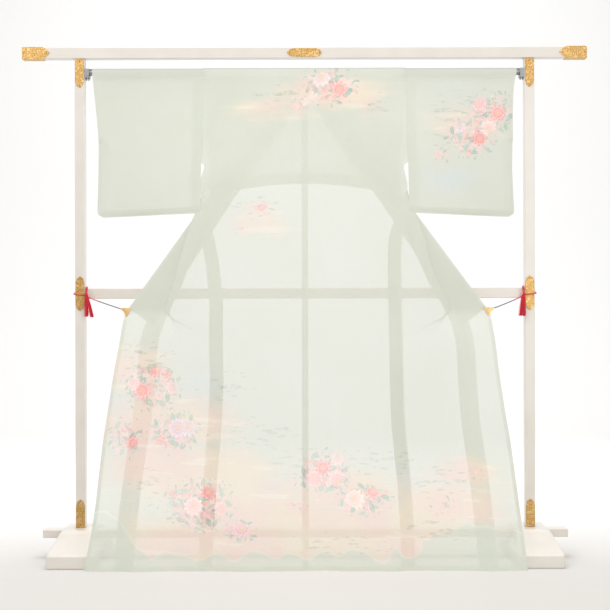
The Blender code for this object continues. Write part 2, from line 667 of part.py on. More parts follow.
def cord_route(side):
    """From the clip up to the knot, then once round the post, over the middle rail."""
    sign = SIDES[side]
    face = POST_SIDE / 2 + PLATE_THICK + PLATE_SEAT + GAP + CORD_RADIUS
    clear = POST_SIDE / 2 + GAP + CORD_RADIUS + 0.0006
    over = MIDDLE_RAIL_Z + MIDDLE_RAIL_HEIGHT / 2 + CORD_RADIUS + 0.0012
    start_x = CLIP_X[side] + CLIP_WIDTH - CLIP_REACH + GAP
    start = (start_x, clip_center_y(side), CLIP_Z + 0.011)
    inner = POST_X - POST_SIDE / 2
    points = [
        start,
        (mix(start_x, inner, 0.35), mix(start[1], -face, 0.4) - 0.002, mix(start[2], 0.842, 0.33)),
        (mix(start_x, inner, 0.75), mix(start[1], -face, 0.8) - 0.003, mix(start[2], 0.842, 0.74)),
        (inner - 0.002, -face - 0.0012, 0.8430),
        (POST_X, -face, 0.8455),
        (POST_X + POST_SIDE / 2 + 0.0022, -face + 0.0002, 0.8480),
        (POST_X + clear + 0.001, 0, 0.8520),
        (POST_X + clear - 0.001, clear, 0.8580),
        (POST_X, face + 0.0004, 0.8640),
        (inner - 0.001, clear + 0.0006, over + 0.001),
        (inner - clear + POST_SIDE / 2 - 0.0012, 0, over + 0.001),
        (inner - 0.004, -clear - 0.001, over - 0.004),
        (inner - 0.005, -face - 0.0085, 0.8560),
        (inner - 0.006, -face - 0.0115, 0.8480),
    ]
    return [Vector((sign * x, y, z)) for x, y, z in points]


def smooth_route(points, spacing):
    """Evenly spaced points along a Catmull-Rom curve through the route."""
    padded = [points[0] * 2 - points[1]] + points + [points[-1] * 2 - points[-2]]
    dense = []
    for k in range(1, len(padded) - 2):
        a, b, c, d = padded[k - 1:k + 3]
        for step in range(16):
            t = step / 16
            dense.append(((b * 2) + (c - a) * t + (a * 2 - b * 5 + c * 4 - d) * t ** 2
                          + (b * 3 - a - c * 3 + d) * t ** 3) / 2)
    dense.append(points[-1])
    lengths = [0.0]
    for a, b in zip(dense, dense[1:]):
        lengths.append(lengths[-1] + (b - a).length)
    count = round(lengths[-1] / spacing)
    result, k = [], 0
    for n in range(count + 1):
        target = lengths[-1] * n / count
        while k < len(lengths) - 2 and lengths[k + 1] < target:
            k += 1
        share = (target - lengths[k]) / (lengths[k + 1] - lengths[k])
        result.append(dense[k].lerp(dense[k + 1], min(1.0, share)))
    return result


def cord(side):
    route = smooth_route(cord_route(side), CORD_RADIUS * 6)
    curve = bpy.data.curves.new("cord_" + side, "CURVE")
    curve.dimensions = "3D"
    curve.bevel_depth = CORD_RADIUS
    curve.bevel_resolution = 2
    curve.use_fill_caps = True
    spline = curve.splines.new("POLY")
    spline.points.add(len(route) - 1)
    for point, place in zip(spline.points, route):
        point.co = (*place, 1)
    curve.materials.append(RED)
    made = bpy.data.objects.new("cord_" + side, curve)
    bpy.context.scene.collection.objects.link(made)
    return made


def tassel(side):
    """A head under the knot with a four by four bunch of strands grown out of its underside."""
    end = cord_route(side)[-1]
    head_high = end.z - CORD_RADIUS / 2 - GAP
    head_low = head_high - 0.012
    count = 4
    shape = bmesh.new()

    def level(z, half):
        rows = []
        for v in range(count + 1):
            row = []
            for u in range(count + 1):
                a, b = 2 * u / count - 1, 2 * v / count - 1
                row.append(shape.verts.new((end.x + half * a * (1 - b * b / 2) ** 0.5,
                                            end.y + half * b * (1 - a * a / 2) ** 0.5, z)))
            rows.append(row)
        return rows

    bottom = level(head_low, TASSEL_HEAD)
    around = [(u, 0) for u in range(count)] + [(count, v) for v in range(count)]
    around += [(u, count) for u in range(count, 0, -1)] + [(0, v) for v in range(count, 0, -1)]
    bottom_ring = [bottom[v][u] for u, v in around]
    rings = [bottom_ring]
    center = Vector((end.x, end.y, 0))
    for z, scale in ((head_low + 0.006, 1.08), (head_high - 0.002, 0.8), (head_high, 0.35)):
        ring = []
        for vert in bottom_ring:
            out = (vert.co - center) * scale
            ring.append(shape.verts.new((end.x + out.x, end.y + out.y, z)))
        rings.append(ring)
    for lower, upper in zip(rings, rings[1:]):
        for k in range(len(lower)):
            following = (k + 1) % len(lower)
            shape.faces.new((lower[k], lower[following], upper[following], upper[k]))
    shape.faces.new(rings[-1])
    cells = []
    for v in range(count):
        for u in range(count):
            cells.append(shape.faces.new((bottom[v][u], bottom[v][u + 1], bottom[v + 1][u + 1],
                                          bottom[v + 1][u])))
    bmesh.ops.recalc_face_normals(shape, faces=shape.faces)
    bmesh.ops.inset_individual(shape, faces=cells, thickness=0.0004)
    middles = [cell.calc_center_median() for cell in cells]
    for stage, (drop, spread, size) in enumerate(((0.022, 0.25, 0.85), (TASSEL_LENGTH - 0.022, 0.65, 0.75))):
        grown = bmesh.ops.extrude_discrete_faces(shape, faces=cells)["faces"]
        for k, cell in enumerate(grown):
            offset = middles[k] - Vector((end.x, end.y, head_low))
            uneven = 0.004 * sin(7.3 * k + stage)
            move = Vector((offset.x * spread, offset.y * spread, -drop + uneven * stage))
            middle = cell.calc_center_median()
            for vert in cell.verts:
                vert.co = middle + (vert.co - middle) * size + move
        cells = grown
    return object_from_bmesh("tassel_" + side, shape, RED)


for half in SIDES:
    back_panel(half)
    front_panel(half)
    okumi_panel(half)
    collar_strip(half)
    sleeve(half)
    clip(half)
    cord(half)
    tassel(half)
shoulder_lining()
rack()
rod_and_brackets()

for made in bpy.context.scene.objects:
    made.location.y += BOX_SHIFT_Y
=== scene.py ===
"""A sheer summer kimono spread back side out on a white kimono rack.

Metres, +Z up, +X to the right of a viewer who faces the kimono's back, as in the solids.
"""

from collections import namedtuple
from functools import partial
from math import atan2, cos, exp, pi, radians, sin

import bmesh
import bpy
import numpy as np
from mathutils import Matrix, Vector, noise


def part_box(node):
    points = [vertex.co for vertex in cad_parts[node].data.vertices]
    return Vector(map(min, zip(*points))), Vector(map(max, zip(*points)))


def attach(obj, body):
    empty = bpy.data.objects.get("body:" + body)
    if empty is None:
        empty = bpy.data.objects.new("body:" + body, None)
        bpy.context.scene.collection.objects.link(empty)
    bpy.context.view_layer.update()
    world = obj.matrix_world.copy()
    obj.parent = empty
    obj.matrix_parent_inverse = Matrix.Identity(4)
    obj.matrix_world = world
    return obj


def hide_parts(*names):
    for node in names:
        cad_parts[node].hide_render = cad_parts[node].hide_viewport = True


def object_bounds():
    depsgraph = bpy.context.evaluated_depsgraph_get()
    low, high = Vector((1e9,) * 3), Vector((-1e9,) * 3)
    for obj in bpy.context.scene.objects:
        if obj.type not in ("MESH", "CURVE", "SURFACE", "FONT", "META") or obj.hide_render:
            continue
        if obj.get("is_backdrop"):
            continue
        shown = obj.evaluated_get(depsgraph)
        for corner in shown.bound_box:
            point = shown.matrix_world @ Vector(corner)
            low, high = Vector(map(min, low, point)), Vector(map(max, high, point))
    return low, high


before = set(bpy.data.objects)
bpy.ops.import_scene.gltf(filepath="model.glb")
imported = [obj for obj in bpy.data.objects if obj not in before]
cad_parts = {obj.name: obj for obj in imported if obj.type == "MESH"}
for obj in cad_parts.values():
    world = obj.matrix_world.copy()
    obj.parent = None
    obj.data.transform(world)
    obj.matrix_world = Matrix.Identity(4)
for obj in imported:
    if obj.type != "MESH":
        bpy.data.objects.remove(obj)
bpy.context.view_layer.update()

# Studio
# A camera as far off as the one that took the picture, level with the middle of the rack, in front of
# a white paper sweep that runs over the floor and up behind, with soft light from all round.
IMAGE_WIDTH = 610
FOCAL_PIXELS = 1236
SENSOR = 36
scene = bpy.context.scene
scene.view_settings.view_transform = "Standard"
camera = bpy.data.objects.new("camera", bpy.data.cameras.new("camera"))
scene.collection.objects.link(camera)
camera.location = (0, -3.9786, 0.812)
camera.rotation_euler = (pi / 2, radians(0.13), 0)
camera.data.sensor_width = SENSOR
camera.data.lens = SENSOR * FOCAL_PIXELS / IMAGE_WIDTH
scene.camera = camera


class Wire:
    """A socket of a node tree. Python's operators on wires add Math nodes."""

    def __init__(self, tree, socket=None):
        self.tree = tree
        self.socket = socket

    def node(self, kind, inputs=None, output=0, stops=(), **settings):
        """A node with its settings, then the values or wires of its sockets."""
        made = self.tree.nodes.new(kind if "Node" in kind else "ShaderNode" + kind)
        for name, value in settings.items():
            setattr(made, name, value)
        if stops:
            ramp = made.color_ramp
            while len(ramp.elements) < len(stops):
                ramp.elements.new(0.99)
            for element, (position, color) in zip(ramp.elements, stops):
                element.position = position
                element.color = (*color, 1)
        for name, value in (inputs or {}).items():
            if isinstance(value, Wire):
                self.tree.links.new(value.socket, made.inputs[name])
            else:
                made.inputs[name].default_value = value
        return Wire(self.tree, made.outputs[output])

    def other(self, output):
        """Another output of this wire's node."""
        return Wire(self.tree, self.socket.node.outputs[output])

    def math(self, operation, *values):
        return self.node("Math", dict(enumerate(values)), operation=operation)

    def __add__(self, other):
        return self.math("ADD", self, other)

    def __sub__(self, other):
        return self.math("SUBTRACT", self, other)

    def __rsub__(self, other):
        return self.math("SUBTRACT", other, self)

    def __mul__(self, other):
        return self.math("MULTIPLY", self, other)

    def __truediv__(self, other):
        return self.math("DIVIDE", self, other)

    __radd__ = __add__
    __rmul__ = __mul__

    def rise(self, low, high):
        """A smooth step from 0 at low to 1 at high."""
        return self.node("MapRange", {"Value": self, "From Min": low, "From Max": high},
                         interpolation_type="SMOOTHSTEP")

    def blend(self, first, second):
        """The first colour where this wire is 0, the second where it is 1."""
        first, second = ((*color, 1) if isinstance(color, tuple) else color for color in (first, second))
        return self.node("Mix", {0: self, 6: first, 7: second}, 2, data_type="RGBA")

    def axis(self, name):
        """One part of this vector."""
        return self.node("SeparateXYZ", {"Vector": self}, name)

    def stretched(self, x, y, z):
        """This vector with each part multiplied."""
        return self.node("VectorMath", {0: self, 1: (x, y, z)}, operation="MULTIPLY")

    def cloud(self, scale, detail=2.0, roughness=0.5):
        """Noise over this vector, about 0.5 on average."""
        return self.node("TexNoise", {"Vector": self, "Scale": scale, "Detail": detail,
                                      "Roughness": roughness})

    def bump(self, strength, distance):
        """The normal of a surface that this wire raises."""
        return self.node("Bump", {"Strength": strength, "Distance": distance, "Height": self})


def finish(name, roughness, metallic=0.0, **constants):
    """A new material with plain values on its shader, and the piece's own coordinates in its nodes."""
    made = bpy.data.materials.new(name)
    made.use_nodes = True
    shader = made.node_tree.nodes["Principled BSDF"]
    constants.update(Roughness=roughness, Metallic=metallic)
    for socket, value in constants.items():
        shader.inputs[socket.replace("_", " ")].default_value = value
    return made, shader, Wire(made.node_tree).node("TexCoord", output="Object")


def wear(shader, **wires):
    """Connects wires to the shader's sockets."""
    for name, wire in wires.items():
        wire.tree.links.new(wire.socket, shader.inputs[name.replace("_", " ")])


SWEEP_START = 3.6
SWEEP_BEND = 1.8
SWEEP_HALF_WIDTH = 8
SWEEP_REACH = 7.0
BEND_STEPS = 12
sweep_line = [(-SWEEP_REACH, 0.0), (SWEEP_START, 0.0)]
for k in range(1, BEND_STEPS + 1):
    turn = pi / 2 * k / BEND_STEPS
    sweep_line.append((SWEEP_START + SWEEP_BEND * sin(turn), SWEEP_BEND - SWEEP_BEND * cos(turn)))
sweep_line.append((SWEEP_START + SWEEP_BEND, SWEEP_REACH))
sweep_mesh = bpy.data.meshes.new("paper_sweep")
sweep_mesh.from_pydata([(x, y, z) for y, z in sweep_line for x in (-SWEEP_HALF_WIDTH, SWEEP_HALF_WIDTH)], [],
                       [(2 * k, 2 * k + 1, 2 * k + 3, 2 * k + 2) for k in range(len(sweep_line) - 1)])
sweep_mesh.shade_smooth()
paper, shader, place = finish("white_paper", 0.9, Specular_IOR_Level=0.1)
# Painted shade: the white paper is painted grey on the floor near the camera and lightens to near white
# behind the rack and up the wall.
wear(shader, Base_Color=place.axis("Y").rise(-0.6, 1.5).blend((0.600, 0.580, 0.555), (0.830, 0.827, 0.820)))
sweep_mesh.materials.append(paper)
sweep = bpy.data.objects.new("paper_sweep", sweep_mesh)
scene.collection.objects.link(sweep)
sweep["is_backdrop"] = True

sky = bpy.data.worlds.new("studio")
sky.use_nodes = True
sky.node_tree.nodes["Background"].inputs["Color"].default_value = (1.0, 1.0, 1.0, 1)
sky.node_tree.nodes["Background"].inputs["Strength"].default_value = 0.71
scene.world = sky


def soft_box(name, place, target, wide, power):
    """A large square lamp that shines from place towards target."""
    lamp = bpy.data.lights.new(name, "AREA")
    lamp.size = wide
    lamp.energy = power
    made = bpy.data.objects.new(name, lamp)
    made.location = place
    made.rotation_euler = (Vector(target) - Vector(place)).to_track_quat("-Z", "Y").to_euler()
    scene.collection.objects.link(made)


soft_box("key_light", (-2.6, -3.6, 3.3), (0, 0, 0.7), 2.2, 53)
soft_box("fill_light", (2.2, -4.0, 1.2), (0, 0, 0.6), 2.2, 44)
soft_box("top_light", (0, -1.9, 3.2), (0, 0, 1.35), 1.8, 20)
soft_box("sweep_light", (0, 1.0, 4.2), (0, 2.9, 1.0), 3.0, 135)


# Silk
# Gauze-woven silk, dyed pale green and painted by hand with mist, blossoms and leaves. It is thin enough to
# see through, so each turned-in edge behind it shows as a darker band, which painted shade makes darker and
# greener still.
silk, silk_shader, place = finish("sheer_silk", 0.78, Sheen_Weight=0.25, Sheen_Roughness=0.5,
                                  Specular_IOR_Level=0.25)
height = place.axis("Z")
flat_place = place.node("CombineXYZ", {"X": place.axis("X"), "Y": height})
mist_field, spray_field, leaf_field, pine_field, blue_field, shore_field, turned_in_shade = [
    place.node("Attribute", output="Fac", attribute_name=name)
    for name in ("mist", "spray", "leaf", "pine", "blue", "shore", "layer_shade")]

soft = flat_place.cloud(9, 3)
fine = flat_place.cloud(60, 3)
streaks = flat_place.stretched(5.0, 30.0, 1.0).cloud(1, 3)
mist = (mist_field + (soft - 0.5) * 0.60 + (streaks - 0.5) * 0.45).rise(0.20, 0.72)
mist_tone = flat_place.cloud(5).rise(0.38, 0.62).blend((0.77, 0.66, 0.53), (0.79, 0.60, 0.53))
ground = flat_place.cloud(3).rise(0.3, 0.7).blend((0.590, 0.610, 0.530), (0.614, 0.628, 0.556))
# Painted shade: pieces that lie turned in behind others are mixed towards a darker green, as much as each
# piece's attribute asks.
ground = (turned_in_shade * 0.5).blend(ground, (0.50, 0.56, 0.43))
paint = (mist * 0.70).blend(ground, mist_tone)
blush = spray_field.rise(0.05, 0.70) * soft.rise(0.30, 0.65)
paint = (blush * 0.55).blend(paint, (0.76, 0.53, 0.50))
paint = (blue_field * soft.rise(0.32, 0.58) * 0.55).blend(paint, (0.54, 0.62, 0.68))
paint = (streaks.rise(0.60, 0.64) * mist * 0.35).blend(paint, (0.80, 0.76, 0.68))


def cell_parts(cells_per_metre, shift):
    """Offsets from the nearest of many scattered points, and that point's two random values."""
    spread = flat_place.node("VectorMath", {0: flat_place, 1: (shift, shift * 0.7, 0)}, operation="ADD")
    cells = spread.node("TexVoronoi", {"Vector": spread, "Scale": cells_per_metre, "Randomness": 0.85},
                        voronoi_dimensions="2D")
    offset = spread.node("VectorMath", {0: spread, 1: cells.other("Position")}, operation="SUBTRACT")
    drawn = spread.node("SeparateColor", {"Color": cells.other("Color")})
    return offset.axis("X"), offset.axis("Y"), drawn, drawn.other("Green")


def leaves(cells_per_metre, shift, length, width, field, spin=2 * pi):
    """Pointed leaves with a fine midrib, turned by up to spin; field sets how large they grow."""
    dx, dz, first, second = cell_parts(cells_per_metre, shift)
    turn = (first - 0.5) * spin
    c = turn.math("COSINE", turn)
    s = turn.math("SINE", turn)
    u = (dx * c + dz * s) / (length * field + 0.0001)
    v = (dz * c - dx * s) / (width * field + 0.0001)
    mask = ((1 - u * u) - v.math("ABSOLUTE", v)).rise(0.0, 0.18)
    rib = 1 - v.math("ABSOLUTE", v).rise(0.04, 0.16)
    return mask, rib, second


def blossoms(cells_per_metre, shift, radius, petals, field):
    """Round flowers of notched petals in rings: the mask, how near the rim, the folds, a random value."""
    dx, dz, first, second = cell_parts(cells_per_metre, shift)
    angle = dx.math("ARCTAN2", dz, dx) + first * 6.3
    distance = dx.math("SQRT", dx * dx + dz * dz)
    lobes = angle.math("ABSOLUTE", angle.math("COSINE", angle * (petals / 2)))
    ragged = flat_place.cloud(150, 2, 0.6) - 0.5
    reach = (0.66 + 0.30 * lobes + ragged * 0.75) * (radius * (0.75 + 0.40 * second)) * field + 0.00001
    inner = distance / reach
    ring = angle.math("ABSOLUTE", angle.math("SINE", angle * (petals / 2) + inner * 7.0))
    return 1 - inner.rise(0.90, 1.0), inner, ring, second


shore_cells = flat_place.node("TexVoronoi", {"Vector": flat_place, "Scale": 13, "Randomness": 0.9},
                              voronoi_dimensions="2D", feature="SMOOTH_F1")
edge_height = height + shore_cells * 0.075 - shore_field
sandbar = 1 - edge_height.rise(0.020, 0.022)
shore_rim = sandbar * edge_height.rise(0.012, 0.020)
paint = (sandbar * 0.85).blend(paint, (0.595, 0.628, 0.545))
paint = (shore_rim * 0.5).blend(paint, (0.78, 0.72, 0.62))

for cells, shift, length, width, strength in (
        (17, 0.41, 0.030, 0.0062, 0.42),
        (30, 0.83, 0.019, 0.0038, 0.46)):
    mask, rib, tone = leaves(cells, shift, length, width, pine_field.rise(0.15, 0.75), 0.5)
    shade = tone.rise(0.2, 0.8).blend((0.40, 0.46, 0.38), (0.50, 0.46, 0.42))
    paint = (mask * strength * fine.rise(0.35, 0.55)).blend(paint, shade)

for cells, shift, length, width, dark, light in (
        (26, 0.13, 0.022, 0.0085, (0.12, 0.37, 0.30), (0.30, 0.53, 0.42)),
        (44, 0.71, 0.014, 0.0052, (0.24, 0.46, 0.42), (0.46, 0.60, 0.50))):
    mask, rib, tone = leaves(cells, shift, length, width, leaf_field.rise(0.22, 0.70))
    shade = (rib * 0.45).blend(tone.rise(0.1, 0.9).blend(dark, light), (0.72, 0.76, 0.64))
    paint = (mask * (0.30 + 0.40 * leaf_field)).blend(paint, shade)

PETAL_SHADES = [(0.0, (0.76, 0.24, 0.23)), (0.30, (0.80, 0.38, 0.35)), (0.48, (0.84, 0.52, 0.50)),
                (0.62, (0.85, 0.68, 0.63)), (0.76, (0.82, 0.46, 0.48)), (0.90, (0.66, 0.64, 0.72)),
                (1.0, (0.86, 0.74, 0.62))]
for cells, shift, radius, petals, strength in (
        (40, 0.93, 0.0105, 5, 0.70),
        (70, 0.55, 0.0055, 5, 0.60),
        (13.5, 0.52, 0.0340, 11, 0.95)):
    mask, inner, folds, tone = blossoms(cells, shift, radius, petals, spray_field.rise(0.16, 0.62))
    petal = tone.node("ValToRGB", {"Fac": tone}, stops=PETAL_SHADES)
    petal = ((1 - inner.rise(0.15, 0.85)) * 0.35).blend(petal, (0.72, 0.18, 0.20))
    petal = (folds.rise(0.55, 1.0) * 0.55).blend(petal, (0.88, 0.78, 0.72))
    petal = ((1 - inner.rise(0.10, 0.20)) * 0.8).blend(petal, (0.84, 0.62, 0.26))
    petal = (inner.rise(0.86, 0.97) * 0.30).blend(petal, (0.74, 0.34, 0.34))
    paint = (mask * (0.40 + 0.60 * spray_field.rise(0.2, 0.8)) * strength).blend(paint, petal)

flat_cut = place.node("UVMap", uv_map="cut")
gauze = flat_cut.node("TexWave", {"Vector": flat_cut, "Scale": 52, "Distortion": 0.4}, 1,
                      bands_direction="Y", wave_profile="SIN")
slub = flat_cut.stretched(2200.0, 260.0, 1.0).cloud(1)
at_rod = height.rise(1.535, 1.560)
veil = 0.735 + (gauze - 0.5) * 0.02 + (slub - 0.5) * 0.08 + mist * 0.10 + turned_in_shade * 0.12 + at_rod * 0.16
wear(silk_shader, Base_Color=paint, Alpha=veil, Normal=(gauze * 0.5 + slub).bump(0.25, 0.0004))

# Where mist and sprays of blossom lie, as the painter spreads them: over one shoulder and sleeve,
# then round the skirt.
Spray = namedtuple("Spray", "x z wide high strength")
SPRAYS = [Spray(*row) for row in (
    (0.6, 1.43, 0.07, 0.065, 1), (0.53, 1.345, 0.07, 0.055, 1), (0.44, 1.285, 0.04, 0.05, 0.5),
    (0.085, 1.515, 0.085, 0.055, 0.9), (-0.01, 1.455, 0.04, 0.04, 0.55), (0.21, 1.45, 0.04, 0.03, 0.42),
    (-0.13, 1.12, 0.06, 0.03, 0.5), (-0.21, 1.05, 0.03, 0.03, 0.4), (-0.48, 0.56, 0.08, 0.07, 1),
    (-0.4, 0.42, 0.08, 0.06, 0.9), (-0.56, 0.4, 0.06, 0.06, 0.75), (-0.33, 0.2, 0.1, 0.07, 0.95),
    (-0.2, 0.12, 0.06, 0.04, 0.7), (0.06, 0.3, 0.085, 0.06, 0.95), (0.18, 0.215, 0.08, 0.05, 0.85),
    (-0.03, 0.19, 0.05, 0.035, 0.5), (0.42, 0.2, 0.07, 0.05, 0.48), (0.53, 0.29, 0.04, 0.04, 0.44))]
MISTS = [Spray(*row) for row in (
    (0.1, 1.5, 0.2, 0.06, 0.85), (-0.12, 1.44, 0.18, 0.05, 0.55), (0.52, 1.39, 0.15, 0.09, 0.55),
    (0.24, 1.42, 0.1, 0.035, 0.45), (-0.14, 1.08, 0.15, 0.07, 0.5), (-0.52, 0.6, 0.14, 0.1, 0.8),
    (-0.44, 0.45, 0.24, 0.1, 0.95), (-0.36, 0.3, 0.3, 0.09, 0.95), (-0.1, 0.22, 0.34, 0.08, 0.95),
    (0.14, 0.24, 0.28, 0.07, 0.85), (-0.16, 0.1, 0.44, 0.11, 1.1), (0.18, 0.11, 0.4, 0.11, 1.1),
    (0.42, 0.19, 0.2, 0.08, 1), (0.5, 0.29, 0.14, 0.06, 0.75), (0, 0.03, 0.5, 0.06, 1))]
PINES = [Spray(*row) for row in (
    (0.48, 1.45, 0.09, 0.06, 0.95), (0.43, 1.36, 0.05, 0.06, 0.8), (0.25, 1.46, 0.07, 0.04, 0.8),
    (-0.08, 1.49, 0.11, 0.05, 0.75), (-0.16, 1.13, 0.11, 0.06, 0.7), (-0.5, 0.65, 0.11, 0.06, 0.9),
    (-0.25, 0.56, 0.11, 0.06, 0.8), (-0.13, 0.42, 0.12, 0.06, 0.85), (-0.02, 0.33, 0.12, 0.06, 0.8),
    (0.25, 0.33, 0.13, 0.06, 0.85), (0.42, 0.27, 0.11, 0.06, 0.9), (0.1, 0.08, 0.25, 0.05, 0.6),
    (-0.48, 0.25, 0.09, 0.09, 0.7), (0.4, 0.12, 0.13, 0.05, 0.8))]
BLUES = [Spray(*row) for row in (
    (0.47, 1.23, 0.08, 0.05, 0.9), (0.52, 1.5, 0.07, 0.03, 0.6), (-0.33, 0.56, 0.06, 0.05, 0.6),
    (-0.05, 0.25, 0.07, 0.03, 0.7), (-0.59, 0.52, 0.05, 0.05, 0.6), (0.28, 0.27, 0.06, 0.04, 0.6))]


def field(table, x, z, softer=1.0):
    """How strongly the nearest spray covers a place, from 0 to 1."""
    return max(s.strength * exp(-((x - s.x) / s.wide / softer) ** 2 - ((z - s.z) / s.high / softer) ** 2)
               for s in table)


def shore(x, z):
    """The height up to which the painted sandbars reach."""
    right = min(1.0, max(0.0, (x - 0.33) / 0.12))
    left = min(1.0, max(0.0, (-x - 0.47) / 0.10))
    return 0.055 + 0.085 * right + 0.11 * left


PAINTING = {"shore": shore, "mist": partial(field, MISTS), "spray": partial(field, SPRAYS),
            "leaf": partial(field, SPRAYS, softer=1.3), "pine": partial(field, PINES),
            "blue": partial(field, BLUES)}


def piece(name, mesh, look=None):
    """The object of a finished mesh, on the part's one body."""
    if look:
        mesh.materials.append(look)
    made = bpy.data.objects.new(name, mesh)
    scene.collection.objects.link(made)
    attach(made, "root")
    return made


def sheet(name, place_at, across, along, layer_shade=0.0):
    """A cloth surface through place_at(u, v), its flat cut as its UV map, and the last argument as the
    painted shade that darkens its colour. Gauze lets lamplight through.
    """
    points = [[place_at(u, v) for u in across] for v in along]
    count, rows = len(across), len(along)
    mesh = bpy.data.meshes.new(name)
    faces = [(j * count + i, j * count + i + 1, (j + 1) * count + i + 1, (j + 1) * count + i)
             for j in range(rows - 1) for i in range(count - 1)]
    mesh.from_pydata([p for row in points for p in row], [], faces)
    mesh.shade_smooth()
    down, side = [0.0], [0.0]
    for upper, lower in zip(points, points[1:]):
        down.append(down[-1] + (upper[0] - lower[0]).length)
    middle = points[rows // 2]
    for a, b in zip(middle, middle[1:]):
        side.append(side[-1] + (a - b).length)
    uv = mesh.uv_layers.new(name="cut")
    for loop in mesh.loops:
        j, i = divmod(loop.vertex_index, count)
        uv.data[loop.index].uv = (side[i], -down[j])
    for label, value_at in {"layer_shade": lambda x, z: layer_shade, **PAINTING}.items():
        values = mesh.attributes.new(label, "FLOAT", "POINT").data
        for vertex, value in zip(mesh.vertices, values):
            value.value = value_at(vertex.co.x, vertex.co.z)
    made = piece(name, mesh, silk)
    made.visible_shadow = False
    return made


# Back
# Two loom widths joined by the centre back seam. Each hangs from the rod's near side, and leans out to
# the floor in front of the feet. The cut runs on past the seams as turned-in edges, which a narrow
# tape covers at the centre. The clips draw the opened fronts back towards the posts.
ROD_RADIUS = 0.0113
ROD_Z = 1.5655
ROD_Y = 0.0214
LINING_RADIUS = ROD_RADIUS + 0.0012
BODY_RADIUS = LINING_RADIUS + 0.0016
SHOULDER_HALF = 0.327
SEAM_GAP = 0.0002
HEM_Z = 0.0024
HEM_FORWARD = 0.240
HEM_FOLD = 0.013
HEM_INSET = 0.0005
LOWEST_Z = HEM_Z + 0.001
FOLD_BEHIND = 0.0010
WAVES_END_X = 0.36
PULL = 0.062
PULL_FROM_X = 0.27
PULL_TOP_Z = 1.40
CLIP_Z = 0.790
CLIP_X = {"left": 0.574, "right": 0.590}
SIDES = {"left": -1, "right": 1}


def smooth(value):
    value = min(1.0, max(0.0, value))
    return value * value * (3 - 2 * value)


def mix(a, b, share):
    return a * (1 - share) + b * share


def steps(first, last, count):
    return [mix(first, last, k / count) for k in range(count + 1)]


def lean(z):
    """y of the back."""
    return ROD_Y - BODY_RADIUS - (HEM_FORWARD - BODY_RADIUS) * (1 - min(z, ROD_Z) / ROD_Z)


def pull_back(x, z):
    """How far the clips draw the opened fronts back."""
    outward = smooth((abs(x) - PULL_FROM_X) / 0.30)
    upward = z / CLIP_Z if z < CLIP_Z else max(0.0, (PULL_TOP_Z - z) / (PULL_TOP_Z - CLIP_Z))
    return PULL * outward * upward


def sag(x, z):
    """Soft hanging waves, stronger towards the hem, and fine ones from the shoulder."""
    low = smooth((1.35 - z) / 0.9)
    wave = 0.0038 * low * sin(17 * x + 1.3 + 0.8 * z) + 0.0020 * low * sin(41 * x + 3 * z)
    drift = noise.noise(Vector((x * 5, z * 1.4, 3.1)))
    return wave + 0.0030 * drift * smooth((1.50 - z) / 0.25)


TABLE_STEP = 0.002
REACH_STEPS = 24
SMOOTH_Z = np.linspace(-0.2, 1.8, 1001)
KERNEL = np.exp(-(np.arange(-REACH_STEPS, REACH_STEPS + 1) * TABLE_STEP / 0.013) ** 2 / 2)


def rounded(heights, values):
    """A table's column as a smooth function of height."""
    order = np.argsort(heights)
    line = np.interp(SMOOTH_Z, np.array(heights)[order], np.array(values)[order])
    padded = np.pad(line, REACH_STEPS, mode="edge")
    line = np.convolve(padded, KERNEL / KERNEL.sum(), mode="valid")
    return lambda z: float(np.interp(z, SMOOTH_Z, line))


def down_steps(top, bottom, size=0.008):
    return steps(top, bottom, max(1, round((top - bottom) / size)))


